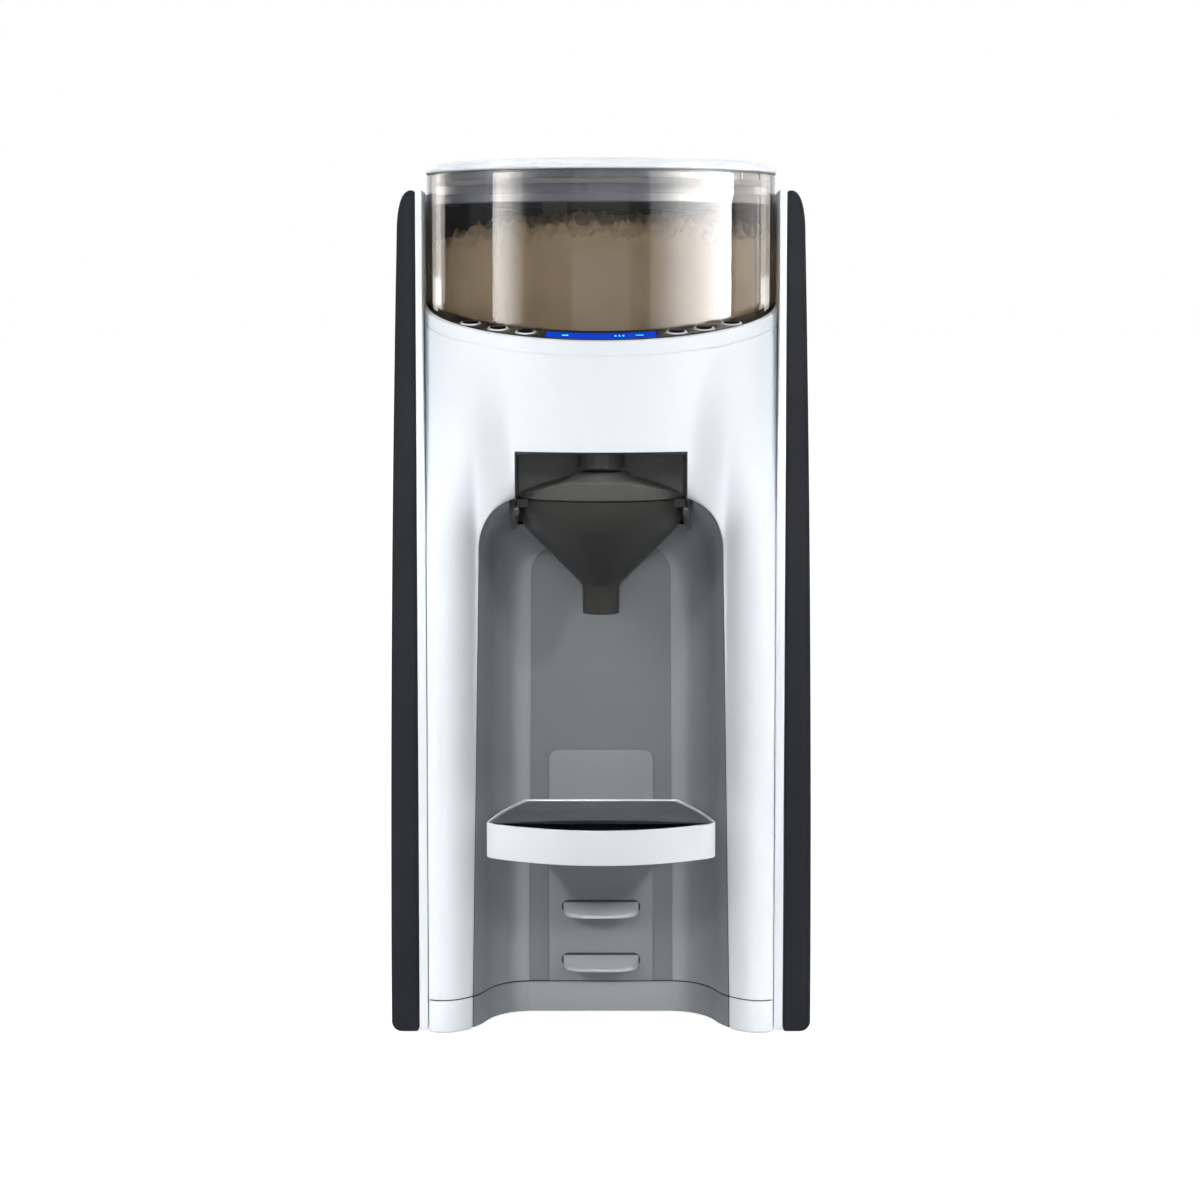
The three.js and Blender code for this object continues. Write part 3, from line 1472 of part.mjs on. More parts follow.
addPiece("base_plate", basePlate(), "black");
addPiece("foot_front_left", foot(-frontFoot[0], frontFoot[1]), "rubber");
addPiece("foot_front_right", foot(...frontFoot), "rubber");
addPiece("foot_rear_left", foot(-rearFoot[0], rearFoot[1]), "rubber");
addPiece("foot_rear_right", foot(...rearFoot), "rubber");
addPiece("base_cap_left", mirrored(baseCap()), "white");
addPiece("base_cap_right", baseCap(), "white");
addPiece("base_sill", baseSill(), "grey");
addPiece("front_shell", frontShell(), "white");
addPiece("alcove_liner", alcoveLiner(), "grey");
addPiece("side_lining_left", mirrored(sideLining()), "white");
addPiece("side_lining_right", sideLining(), "white");
addPiece("side_panel_left", mirrored(sidePanel()), "black");
addPiece("side_panel_right", sidePanel(), "black");
addPiece("back_panel", backPanel(), "black");
addPiece("rear_screw_left", rearScrew(-1), "steel");
addPiece("rear_screw_right", rearScrew(1), "steel");
addPiece("power_inlet", powerInlet(), "black");
addPiece("inner_frame", innerFrame(), "dark");
addPiece("rear_deck", rearDeck(), "dark");
addPiece("powder_bay", powderBay(), "dark");
addPiece("powder_container", powderContainer(), "clear");
addPiece("portion_wheel", portionWheel(), "nylon");
addPiece("stirrer", stirrer(), "nylon");
addPiece("formula_powder", formulaPowder(), "powder");
addPiece("powder_lid", powderLid(), "white");
addPiece("lid_seal", lidSeal(), "rubber");
addPiece("drive_shaft", driveShaft(), "steel");
addPiece("drive_gear", gear(gearTeeth, containerY, Math.PI / 2, shaftRadius + gap), "nylon");
addPiece("motor_pinion", gear(pinionTeeth, motorY, pinionPhase, motorShaftRadius), "steel");
addPiece("mix_motor", mixMotor(), "steel");
addPiece("motor_bracket", motorBracket(), "dark");
addPiece("control_panel", controlPanel(), "glossBlack");
addPiece("lcd_display", lcdDisplay(), "blue");
buttonPlaces.forEach((x, k) => {
  addPiece(`button_left_${k + 1}`, button(-x), "silver");
  addPiece(`button_right_${k + 1}`, button(x), "silver");
});
addPiece("control_board", controlBoard(), "board");
addPiece("funnel_holder", funnelHolder(), "dark");
addPiece("funnel", funnel(), "smoke");
addPiece("funnel_cover", funnelCover(), "smoke");
addPiece("powder_chute", powderChute(), "dark");
addPiece("water_nozzle", waterNozzle(), "steel");
addPiece("tray_rail", trayRail(), "paleGrey");
addPiece("tray_body", trayBody(), "white");
addPiece("tray_pad", trayPad(), "dark");
addPiece("water_tank", waterTank(), "tank");
addPiece("tank_lid", tankLid(), "dark");
addPiece("tank_hinge_pin", tankHingePin(), "steel");
addPiece("tank_valve", tankValve(), "nylon");
addPiece("tank_dock", tankDock(), "dark");
addPiece("water_pump", waterPump(), "dark");
addPiece("heater", heater(), "copper");
addPiece("tank_hose", tankHose(), "nylon");
addPiece("heater_hose", heaterHose(), "nylon");
addPiece("nozzle_hose", nozzleHose(), "nylon");
addPiece("main_board", mainBoard(), "board");

export default machine;
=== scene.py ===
import math
import bmesh
import bpy
from mathutils import Matrix, Vector, noise


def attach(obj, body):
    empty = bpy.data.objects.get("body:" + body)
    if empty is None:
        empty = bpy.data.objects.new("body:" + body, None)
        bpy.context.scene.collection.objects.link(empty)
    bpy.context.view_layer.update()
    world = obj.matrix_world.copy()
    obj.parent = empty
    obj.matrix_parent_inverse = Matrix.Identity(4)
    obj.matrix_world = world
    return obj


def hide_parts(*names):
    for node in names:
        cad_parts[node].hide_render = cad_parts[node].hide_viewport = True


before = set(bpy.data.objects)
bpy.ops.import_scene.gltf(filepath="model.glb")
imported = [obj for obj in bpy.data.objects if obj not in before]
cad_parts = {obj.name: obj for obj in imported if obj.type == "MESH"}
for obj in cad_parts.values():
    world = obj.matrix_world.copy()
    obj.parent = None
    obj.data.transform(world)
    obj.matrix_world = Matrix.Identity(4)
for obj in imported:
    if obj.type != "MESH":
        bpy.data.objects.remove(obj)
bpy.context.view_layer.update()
mm = 0.001  # shapes are drawn in millimetres and made in metres
gap = 0.3  # what neighbouring pieces leave between them
print("frame loaded")


def placed(name, data):
    item = bpy.data.objects.new(name, data)
    bpy.context.scene.collection.objects.link(item)
    return item


# The camera stands where the photograph was taken
cameraSetup = {"place": (-0.4, -1295, 288), "pitch": 5.563, "lens": 92.4, "sensor": 36,
               "near": 0.05, "far": 50}
camera = placed("camera", bpy.data.cameras.new("camera"))
camera.data.lens = cameraSetup["lens"]
camera.data.sensor_width = cameraSetup["sensor"]
camera.data.clip_start = cameraSetup["near"]
camera.data.clip_end = cameraSetup["far"]
camera.location = Vector(cameraSetup["place"]) * mm
camera.rotation_euler = (math.radians(90 - cameraSetup["pitch"]), 0, 0)
bpy.context.scene.camera = camera


def mix(a, b, share):
    return a + (b - a) * share


def ease(value, low, high):
    share = min(1, max(0, (value - low) / (high - low)))
    return share * share * (3 - 2 * share)


# Finishes, made of noise in the object's own space
def linear(red, green, blue):
    def one(value):
        value /= 255
        return value / 12.92 if value <= 0.04045 else ((value + 0.055) / 1.055) ** 2.4
    return (one(red), one(green), one(blue), 1)


def setInputs(node, values):
    for name, value in values.items():
        node.inputs[name].default_value = value


def nodeOf(tree, kind, values=None, **settings):
    node = tree.nodes.new("ShaderNode" + kind)
    for name, value in settings.items():
        setattr(node, name, value)
    setInputs(node, values or {})
    return node


def link(tree, source, output, target, name):
    tree.links.new(source.outputs[output], target.inputs[name])


# Noise of so many waves to a metre, brought from its middle range to the range between two values
def spreadNoise(tree, coords, scale, detail, low, high):
    waves = nodeOf(tree, "TexNoise", {"Scale": scale, "Detail": detail})
    link(tree, coords, "Object", waves, "Vector")
    level = nodeOf(tree, "MapRange", {"From Min": 0.3, "From Max": 0.7, "To Min": low, "To Max": high})
    link(tree, waves, "Fac", level, "Value")
    return level


# Moulded finish: cloudy colour, uneven gloss and a fine skin
def moulded(name, colour, roughness, cloud=0.025, cloudScale=22, uneven=0.05, skin=0.04, skinScale=1400,
            skinDepth=0.0002, metallic=0, coat=0, specular=0.5):
    material = bpy.data.materials.new(name)
    material.use_nodes = True
    tree = material.node_tree
    shader = tree.nodes["Principled BSDF"]
    coords = nodeOf(tree, "TexCoord")
    base = linear(*colour)[:3]
    dark = tuple(c * (1 - cloud) for c in base) + (1,)
    light = tuple(min(1, c * (1 + cloud)) for c in base) + (1,)
    shade = nodeOf(tree, "Mix", {"A": dark, "B": light}, data_type="RGBA")
    link(tree, spreadNoise(tree, coords, cloudScale, 3, 0, 1), "Result", shade, "Factor")
    link(tree, shade, "Result", shader, "Base Color")
    gloss = spreadNoise(tree, coords, cloudScale * 3, 4, roughness - uneven, roughness + uneven)
    link(tree, gloss, "Result", shader, "Roughness")
    grain = nodeOf(tree, "TexNoise", {"Scale": skinScale, "Detail": 2})
    link(tree, coords, "Object", grain, "Vector")
    bump = nodeOf(tree, "Bump", {"Strength": skin, "Distance": skinDepth})
    link(tree, grain, "Fac", bump, "Height")
    link(tree, bump, "Normal", shader, "Normal")
    setInputs(shader, {"Metallic": metallic, "Coat Weight": coat, "Coat Roughness": 0.06,
                       "Specular IOR Level": specular})
    return material


# Clear finish that lets light through to what it holds
def clearPlastic(name, tint, shadowTint, roughness, ior, coat=0, coatIor=1.5):
    material = moulded(name, tint, roughness, cloud=0.02, cloudScale=14, uneven=0.015, skin=0.01,
                       skinScale=300, coat=coat)
    tree = material.node_tree
    shader = tree.nodes["Principled BSDF"]
    setInputs(shader, {"Transmission Weight": 1, "IOR": ior, "Coat IOR": coatIor})
    passing = nodeOf(tree, "BsdfTransparent", {"Color": linear(*shadowTint)})
    path = nodeOf(tree, "LightPath")
    either = nodeOf(tree, "Math", operation="MAXIMUM")
    link(tree, path, "Is Shadow Ray", either, 0)
    link(tree, path, "Is Diffuse Ray", either, 1)
    blend = nodeOf(tree, "MixShader")
    link(tree, either, "Value", blend, "Fac")
    link(tree, shader, "BSDF", blend, 1)
    link(tree, passing, "BSDF", blend, 2)
    link(tree, blend, "Shader", tree.nodes["Material Output"], "Surface")
    return material


def glowing(name, colour, glow, strength):
    material = moulded(name, colour, 0.3, cloud=0.04, cloudScale=60, skin=0, specular=0)
    shader = material.node_tree.nodes["Principled BSDF"]
    setInputs(shader, {"Emission Color": linear(*glow), "Emission Strength": strength})
    return material


# Loose powder: creamy, with fine grain
def powderFinish():
    material = moulded("formulaPowder", (147, 134, 116), 0.9, cloud=0.1, cloudScale=60, skin=0.9,
                       skinScale=900, skinDepth=0.0003, specular=0.15)
    shader = material.node_tree.nodes["Principled BSDF"]
    setInputs(shader, {"Subsurface Weight": 0.1, "Subsurface Radius": (0.003, 0.002, 0.001)})
    return material


# Colour, roughness and what else sets each moulding apart
smoky = dict(cloud=0.06, cloudScale=40, uneven=0.04, skin=0.02)
mouldings = {
    "shellWhite": ((238, 242, 246), 0.34, dict(cloud=0.012, uneven=0.04, skin=0.02, specular=0.35)),
    "lidWhite": ((238, 241, 244), 0.34, dict(cloud=0.006, uneven=0.02, skin=0.01)),
    "trayWhite": ((236, 239, 242), 0.36, dict(cloud=0.006, uneven=0.02, skin=0.01, specular=0.25)),
    "sideBlack": ((37, 38, 42), 0.5,
                  dict(cloud=0.12, cloudScale=16, skin=0.16, skinScale=1700, specular=0.15)),
    "linerGrey": ((138, 142, 145), 0.42, dict(cloud=0.03, skin=0.06)),
    # A darker copy of linerGrey for the bay's back wall: painted shade in the recess
    "linerBackPaintedShade": ((104, 108, 111), 0.45, dict(cloud=0.03, skin=0.05)),
    "railGrey": ((124, 128, 131), 0.42, dict(cloud=0.03, skin=0.05)),
    "sillGrey": ((134, 138, 141), 0.4, dict(cloud=0.03, skin=0.06)),
    "pegGrey": ((172, 177, 180), 0.4, dict(cloud=0.03, skin=0.05)),
    "deckGrey": ((84, 87, 90), 0.42, dict(cloud=0.03, skin=0.015)),
    "darkPlastic": ((44, 45, 47), 0.45, dict(cloud=0.06, skin=0.12)),
    "holderGrey": ((156, 157, 157), 0.5, dict(cloud=0.04, skin=0.06)),
    # Black of the seals, slots and holder cheeks, also used as painted shade round the opening and the pegs
    "blackPartsAndPaintedShade": ((40, 42, 44), 0.5, dict(cloud=0.06, skin=0.08)),
    "funnelSmoke": ((52, 52, 50), 0.4, dict(smoky, specular=0.2)),
    "coverSmoke": ((86, 86, 83), 0.4, dict(smoky, specular=0.25)),
    # A lighter copy of coverSmoke for the cover's up-facing faces: painted light
    "crownSmokePaintedLight": ((158, 157, 152), 0.4, dict(smoky, specular=0.25)),
    "chuteGrey": ((96, 97, 97), 0.5, dict(cloud=0.04, skin=0.06)),
    "faceBlack": ((6, 6, 8), 0.3, dict(cloud=0.2, uneven=0.04, skin=0.01, specular=0.03)),
    "panelBlack": ((12, 12, 14), 0.3, dict(cloud=0.2, uneven=0.04, skin=0.01, specular=0.12)),
    # Dark grey on the lid's pale skirt: painted shade
    "skirtPaintedShade": ((105, 115, 134), 0.3, dict(cloud=0.02, uneven=0.04, skin=0.02)),
    "postGrey": ((206, 208, 210), 0.4, dict(cloud=0.03, uneven=0.04, skin=0.03)),
    "inlayBlack": ((12, 13, 15), 0.5, dict(cloud=0.15, uneven=0.04, skin=0.03, specular=0.06)),
    "sealClear": ((112, 118, 130), 0.5, dict(cloud=0.04, cloudScale=60, skin=0.06)),
    "buttonSilver": ((214, 216, 219), 0.3, dict(cloud=0.03, metallic=0.6, skin=0.03)),
    "steel": ((150, 154, 158), 0.3, dict(cloud=0.06, metallic=1, skin=0.08)),
    "copper": ((176, 112, 72), 0.32, dict(cloud=0.12, metallic=1, skin=0.1)),
    "naturalNylon": ((222, 218, 204), 0.5, dict(cloud=0.04, skin=0.08)),
    "rubber": ((30, 30, 33), 0.82, dict(cloud=0.12, cloudScale=90, skin=0.3, skinScale=900)),
    "boardGreen": ((26, 78, 48), 0.5, dict(cloud=0.25, cloudScale=160, skin=0.2, skinScale=500)),
    "hoseSilicone": ((206, 208, 204), 0.35, dict(cloud=0.06, cloudScale=60, skin=0.05)),
}
finishes = {name: moulded(name, *looks, **more) for name, (*looks, more) in mouldings.items()}
finishes["clearContainer"] = clearPlastic(
    "clearContainer", (230, 226, 220), (240, 236, 230), roughness=0, ior=1.06, coat=1, coatIor=1.24)
finishes["clearTank"] = clearPlastic("clearTank", (150, 164, 174), (186, 196, 204), roughness=0.06, ior=1.4)
finishes["displayBlue"] = glowing("displayBlue", (4, 10, 60), (30, 86, 252), 0.55)
finishes["displayMark"] = glowing("displayMark", (10, 60, 80), (60, 230, 255), 1.6)
finishes["powder"] = powderFinish()
print("finishes made")


# A sheet of faces through rows of points
def sheetOf(rows, closed=False):
    points = [p for row in rows for p in row]
    width = len(rows[0])
    faces = []
    for i in range(len(rows) if closed else len(rows) - 1):
        for j in range(width - 1):
            a, b = i * width + j, ((i + 1) % len(rows)) * width + j
            faces.append((a, b, b + 1, a + 1))
    return points, faces


# A closed body between two grids of the same size
def slabOf(outer, inner):
    rows, width = len(outer), len(outer[0])
    half = rows * width
    points = [p for row in outer + inner for p in row]
    faces = []
    for a, b, c, d in sheetOf(outer)[1]:
        faces += [(a, b, c, d), (half + a, half + d, half + c, half + b)]
    border = list(range(width)) + [i * width + width - 1 for i in range(1, rows)]
    border += [(rows - 1) * width + j for j in range(width - 2, -1, -1)]
    border += [i * width for i in range(rows - 2, 0, -1)]
    faces += [(a, b, half + b, half + a) for a, b in zip(border, border[1:] + border[:1])]
    return points, faces


# Layers of one outline, closed at the bottom and the top
def layeredOf(layers):
    count = len(layers[0][0])
    points = [(x, y, z) for outline, z in layers for x, y in outline]
    faces = [tuple(range(count)), tuple(range(len(points) - 1, len(points) - 1 - count, -1))]
    for level in range(len(layers) - 1):
        for i in range(count):
            a, b = level * count + i, level * count + (i + 1) % count
            faces.append((a, b, b + count, a + count))
    return points, faces


# An outline in plan, raised between two heights
def prismOf(outline, low, high):
    return layeredOf([(outline, low), (outline, high)])


def boxOf(x0, x1, y0, y1, z0, z1):
    return prismOf([(x0, y0), (x1, y0), (x1, y1), (x0, y1)], z0, z1)


# An outline in X and Z, drawn out along Y
def frontPrismOf(outline, front, rear):
    points, faces = prismOf(outline, front, rear)
    return [(x, depth, z) for x, z, depth in points], faces


# A closed profile of radius and height, turned about an upright axis in the middle plane
def turnedOf(profile, y, steps):
    rows = []
    for k in range(steps):
        turn = 2 * math.pi * k / steps
        rows.append([(r * math.sin(turn), y - r * math.cos(turn), z) for r, z in profile + profile[:1]])
    return sheetOf(rows, closed=True)


def rodProfile(radius, low, high):
    return [(0, low), (radius, low), (radius, high), (0, high)]


def joined(*shapes):
    points, faces = [], []
    for morePoints, moreFaces in shapes:
        start = len(points)
        points += morePoints
        faces += [tuple(start + i for i in face) for face in moreFaces]
    return points, faces


def arcPoints(x, y, radius, start, end, steps):
    angles = [math.radians(mix(start, end, k / steps)) for k in range(steps + 1)]
    return [(x + radius * math.cos(a), y + radius * math.sin(a)) for a in angles]


# Points after the start of a curve that one control point bends
def curvePoints(start, control, end, steps):
    points = []
    for k in range(1, steps + 1):
        t = k / steps
        points.append(tuple(
            (1 - t) ** 2 * a + 2 * (1 - t) * t * b + t * t * c for a, b, c in zip(start, control, end)
        ))
    return points


# Points closer than this many metres are one
merging = {"drawn": 2e-6, "sliver": 1e-6, "packed": 1e-5}


def objectOf(name, shape):
    points, faces = shape
    mesh = bpy.data.meshes.new(name)
    mesh.from_pydata([Vector(p) * mm for p in points], [], faces)
    work = bmesh.new()
    work.from_mesh(mesh)
    bmesh.ops.remove_doubles(work, verts=work.verts, dist=merging["drawn"])
    bmesh.ops.dissolve_degenerate(work, edges=work.edges, dist=merging["sliver"])
    bmesh.ops.recalc_face_normals(work, faces=work.faces)
    work.to_mesh(mesh)
    work.free()
    return placed(name, mesh)


def applied(item):
    shown = item.evaluated_get(bpy.context.evaluated_depsgraph_get())
    mesh = bpy.data.meshes.new_from_object(shown)
    item.modifiers.clear()
    item.data = mesh


def carved(item, *shapes, operation="DIFFERENCE"):
    for shape in shapes:
        cutter = objectOf("cutter", shape)
        change = item.modifiers.new("carve", "BOOLEAN")
        change.operation = operation
        change.solver = "EXACT"
        change.object = cutter
        applied(item)
        bpy.data.objects.remove(cutter)


def softened(item, width, segments=3, angle=32):
    edge = item.modifiers.new("edge", "BEVEL")
    edge.width = width * mm
    edge.segments = segments
    edge.limit_method = "ANGLE"
    edge.angle_limit = math.radians(angle)


def finished(item, finish, body, slot, *nodes, sharp=38):
    applied(item)
    item.data.materials.clear()
    item.data.materials.append(finishes[finish])
    item.data.shade_smooth()
    item.data.set_sharp_from_angle(angle=math.radians(sharp))
    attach(item, body)
    if nodes:
        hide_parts(*nodes)


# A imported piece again, with its flat faces whole and its edges rounded
def rounded(node, width, finish, body, slot):
    item = placed(node + "_rounded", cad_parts[node].data.copy())
    work = bmesh.new()
    work.from_mesh(item.data)
    bmesh.ops.remove_doubles(work, verts=work.verts, dist=merging["packed"])
    bmesh.ops.dissolve_limit(work, angle_limit=math.radians(1), verts=work.verts, edges=work.edges)
    bmesh.ops.recalc_face_normals(work, faces=work.faces)
    work.to_mesh(item.data)
    work.free()
    softened(item, width)
    finished(item, finish, body, slot, node)
    return item


# A second finish on the faces that a test picks
def secondFinish(item, finish, picks):
    item.data.materials.append(finishes[finish])
    for face in item.data.polygons:
        face.material_index = int(picks(face))


# Front shell: a round head on two bowed legs, and the bay behind their arch
shell = {
    "headRadius": 71, "headCentreY": -74, "wall": 2.2, "halfWidthLow": 67.8, "halfWidthHigh": 68.6,
    "widenFrom": 190, "widenTo": 275, "seamZ": 13.8, "skirtZ": 2, "topZ": 290,
    "legBow": 8.5, "legDeep": 13, "legSoft": 4, "legX": 62.3, "legY": -104, "blendTop": 270, "blendLow": 185,
    "blendInner": 33, "blendOuter": 50, "roll": 13, "rollLip": 2, "rollSteps": 14, "restSteps": 22,
    "archHalfWidth": 50.8, "archTaper": 2.9, "archTop": 214.6, "archCorner": 24, "archSteps": (48, 28, 16),
    "openingX": 32.5, "openingLow": 199.6, "openingTop": 231.3, "edge": 0.5,
    "grooveDrop": 5.2, "grooveWidth": 0.5, "grooveDepth": 0.45, "grooveOut": 1, "grooveSteps": 120,
}
rim = {"frontZ": 272.6, "frontY": -145, "slope": math.radians(12)}
bay = {
    "backY": -68, "halfWidth": 29, "taper": 1.2, "topZ": 191, "corner": 12, "wall": 2, "step": 0.35,
    "edge": 0.3,
    "insets": (0, 0.14, 0.33, 0.63, 1), "depths": (0, 0.2, 0.6, 0.89, 1),
}
cuts = {"frontY": -150, "low": -200, "high": 200, "rise": 80}  # ends of cuts, clear of what they cut


def shellHalfWidth(z):
    return mix(shell["halfWidthLow"], shell["halfWidthHigh"], ease(z, shell["widenFrom"], shell["widenTo"]))


# How far the shell falls back where it rolls in to the arch
def rollBack(distance, inset):
    radius = shell["roll"] - inset
    across = shell["roll"] - distance
    if across <= 0:
        return 0
    if across >= radius:
        return radius + (shell["rollLip"] if inset else 0)
    return radius - math.sqrt(radius ** 2 - across ** 2)


# A leg is bowed across its width, and deepest at the bay
def legBack(x):
    depth = (abs(x) - shell["legX"]) ** 2 / (2 * shell["legBow"])
    deepest, soft = shell["legDeep"], shell["legSoft"]
    near = max(0, 1 - abs(depth - deepest) / soft)
    return min(depth, deepest) - near * near * soft / 4


def shellY(x, z, distance, inset):
    radius = shell["headRadius"] - inset
    head = shell["headCentreY"] - math.sqrt(radius ** 2 - min(x * x, radius ** 2))
    leg = shell["legY"] + legBack(x) + inset
    share = 1 - ease(z, shell["blendLow"], shell["blendTop"])
    share *= ease(abs(x), shell["blendInner"], shell["blendOuter"])
    return mix(head + rollBack(distance, inset), leg, share)


# Places along half an arch: up the leg, round the corner and in to the middle of the top
def archStations(legs, corners, tops):
    stations = [("leg", k / legs) for k in range(legs + 1)]
    stations += [("corner", (k + 1) / corners) for k in range(corners)]
    stations += [("top", (k + 1) / tops) for k in range(tops)]
    return stations


def archPoint(station, arch):
    part, share = station
    shoulderZ = arch["topZ"] - arch["corner"]
    shoulderX = arch["highX"] - arch["corner"]
    if part == "leg":
        return mix(arch["lowX"], arch["highX"], share), mix(arch["lowZ"], shoulderZ, share)
    if part == "top":
        return shoulderX * (1 - share), arch["topZ"]
    turn = share * math.pi / 2
    return shoulderX + arch["corner"] * math.cos(turn), shoulderZ + arch["corner"] * math.sin(turn)


# The same places on the outer border: up the side and in along the top
def borderPoint(station, arch):
    part, share = station
    shoulderZ = arch["topZ"] - arch["corner"]
    if part == "leg":
        z = mix(arch["lowZ"], shoulderZ, share)
        return shellHalfWidth(z), z
    if part == "top":
        return shell["halfWidthHigh"] * math.sin((1 - share) * math.pi / 4), shell["topZ"]
    if share > 0.5:
        return shell["halfWidthHigh"] * math.sin((1.5 - share) * math.pi / 2), shell["topZ"]
    z = mix(shoulderZ, shell["topZ"], 2 * share)
    return shellHalfWidth(z), z


openingArch = {
    "lowX": shell["archHalfWidth"], "highX": shell["archHalfWidth"] - shell["archTaper"],
    "lowZ": shell["seamZ"], "topZ": shell["archTop"], "corner": shell["archCorner"],
}
stations = archStations(*shell["archSteps"])


def bothSides(rows):
    flipped = [[(-x, y, z) for x, y, z in row] for row in rows[:-1]]
    return flipped + rows[::-1]


def shellGrid(inset):
    rows = []
    rollSteps, restSteps = shell["rollSteps"], shell["restSteps"]
    for station in stations:
        x0, z0 = archPoint(station, openingArch)
        x1, z1 = borderPoint(station, openingArch)
        length = math.hypot(x1 - x0, z1 - z0)
        reaches = [shell["roll"] * (1 - math.cos(math.pi / 2 * k / rollSteps)) for k in range(rollSteps + 1)]
        reaches += [mix(shell["roll"], length, (k + 1) / restSteps) for k in range(restSteps)]
        row = []
        for reach in reaches:
            x, z = mix(x0, x1, reach / length), mix(z0, z1, reach / length)
            row.append((x, shellY(x, z, reach, inset), z))
        rows.append(row)
    return bothSides(rows)


def rimZ(y):
    return rim["frontZ"] + math.tan(rim["slope"]) * (y - rim["frontY"])


# Everything above the sloped rim
def aboveRim():
    low, high = cuts["low"], cuts["high"]
    points = [(x, y, rimZ(y) + rise) for y in (low, high) for x in (low, high) for rise in (0, cuts["rise"])]
    faces = [(0, 2, 6, 4), (1, 5, 7, 3), (0, 1, 3, 2), (4, 6, 7, 5), (0, 4, 5, 1), (2, 3, 7, 6)]
    return points, faces


# The fine groove that runs round the head under its rim
def grooveRing():
    rows = []
    half, out, depth = shell["grooveWidth"] / 2, shell["grooveOut"], shell["grooveDepth"]
    for k in range(shell["grooveSteps"] + 1):
        turn = math.radians(mix(-90, 90, k / shell["grooveSteps"]))
        row = []
        for reach, lift in ((out, -half), (out, half), (-depth, half), (-depth, -half), (out, -half)):
            radius = shell["headRadius"] + reach
            x, y = radius * math.sin(turn), shell["headCentreY"] - radius * math.cos(turn)
            row.append((x, y, rimZ(y) - shell["grooveDrop"] + lift))
        rows.append(row)
    points, faces = sheetOf(rows)
    end = len(points) - len(rows[0])
    faces += [(0, 1, 2, 3), (end + 3, end + 2, end + 1, end)]
    return points, faces


frontShell = objectOf("front_shell_fine", slabOf(shellGrid(0), shellGrid(shell["wall"])))
opening = boxOf(-shell["openingX"], shell["openingX"], cuts["frontY"], bay["backY"], shell["openingLow"],
                shell["openingTop"])
carved(frontShell, aboveRim(), opening, grooveRing())
softened(frontShell, shell["edge"], 3, 48)
finished(frontShell, "shellWhite", "housing", "white_plastic", "front_shell", sharp=50)


# The bay's section as an arch, from the opening (inset 0) to its back (inset 1)
def linerArch(inset, offset):
    grow = offset if inset else 0
    return {
        "lowX": mix(shell["archHalfWidth"] - gap, bay["halfWidth"], inset) + grow,
        "highX": mix(openingArch["highX"] - gap, bay["halfWidth"] - bay["taper"], inset) + grow,
        "lowZ": shell["seamZ"],
        "topZ": mix(shell["archTop"] - gap, bay["topZ"], inset) + grow,
        "corner": mix(shell["archCorner"], bay["corner"], inset) + grow,
    }


# Insets and depths of the bay, smooth in between those that are given
def bayRings(steps=6):
    rings = []
    last = len(bay["insets"]) - 1
    for i in range(last):
        nearby = [min(last, max(0, i + n)) for n in (-1, 0, 1, 2)]
        for k in range(steps):
            t = k / steps
            pair = []
            for values in (bay["insets"], bay["depths"]):
                a, b, c, d = (values[n] for n in nearby)
                pair.append(max(0, 0.5 * (2 * b + (c - a) * t + (2 * a - 5 * b + 4 * c - d) * t * t
                                          + (3 * b - a - 3 * c + d) * t ** 3)))
            rings.append(tuple(pair))
    return rings + [(1, 1)]


def linerGrid(offset):
    rows = []
    for station in stations:
        edgeX, edgeZ = archPoint(station, openingArch)
        edgeY = shellY(edgeX, edgeZ, 0, 0)
        row = []
        for inset, depth in bayRings():
            x, z = archPoint(station, linerArch(inset, offset))
            row.append((x, mix(edgeY, bay["backY"], depth) + (0 if inset else offset), z))
        row.append((x, bay["backY"] + bay["step"], z))
        rows.append(row)
    return bothSides(rows)


def linerBack():
    arch = linerArch(1, bay["wall"])
    half = [archPoint(station, arch) for station in stations]
    outline = [(-x, z) for x, z in half[:-1]] + half[::-1]
    front = bay["backY"] + bay["step"]
    return frontPrismOf(outline, front, front + bay["wall"])


holder = {"cutX": 35.1, "cutRear": -69.7, "cutZ": 199.7, "lipY": -134, "shadeFrameFront": -137.3, "shadeFrameSide": 0.4,
          "shadeFrameTop": 1.1, "cheekX": 34.4, "frontY": -75, "edge": 0.35}
coneRoom = {"y": -107, "lowZ": 178.4, "lowRadius": 7.9, "topRadius": 29.8, "over": 0.1}


# Room for the funnel's cone in the bay's roof, from its place out to the front
def coneRoomShapes():
    low, top = coneRoom["lowRadius"], coneRoom["topRadius"]
    lowZ, topZ = coneRoom["lowZ"], holder["cutZ"] + coneRoom["over"]
    cone = turnedOf([(0, lowZ), (low, lowZ), (top, topZ), (0, topZ)], coneRoom["y"], 96)
    way = [(-low, lowZ), (low, lowZ), (top, topZ), (-top, topZ)]
    return cone, frontPrismOf(way, cuts["frontY"], coneRoom["y"])


liner = objectOf("alcove_liner_fine", slabOf(linerGrid(0), linerGrid(bay["wall"])))
back = objectOf("alcove_back", linerBack())
holderRoom = boxOf(-holder["cutX"], holder["cutX"], rim["frontY"], holder["cutRear"], holder["cutZ"],
                   shell["topZ"])
carved(liner, holderRoom, *coneRoomShapes())
carved(back, holderRoom)
softened(liner, bay["edge"], 2, 50)
finished(liner, "linerGrey", "housing", "grey_plastic", "alcove_liner", sharp=40)
# The bay's back wall takes a darker copy of the liner's grey: painted shade in the recess
finished(back, "linerBackPaintedShade", "housing", "grey_plastic")
print("shell and bay made")

# Sill and caps under the seam, with a dark line of seal over them
base = {"capTop": 13.2, "sealHeights": (12.8, 14.1), "sealInset": 0.7, "sealReach": (0.6, 1.4),
        "plateY": -65.2, "edge": 0.35, "sillLow": 1.1,
        "foot": ((0.2, 1.9), (0.45, 1), (0.9, 0.4), (1.7, 0))}  # height and inset of the cap's round foot


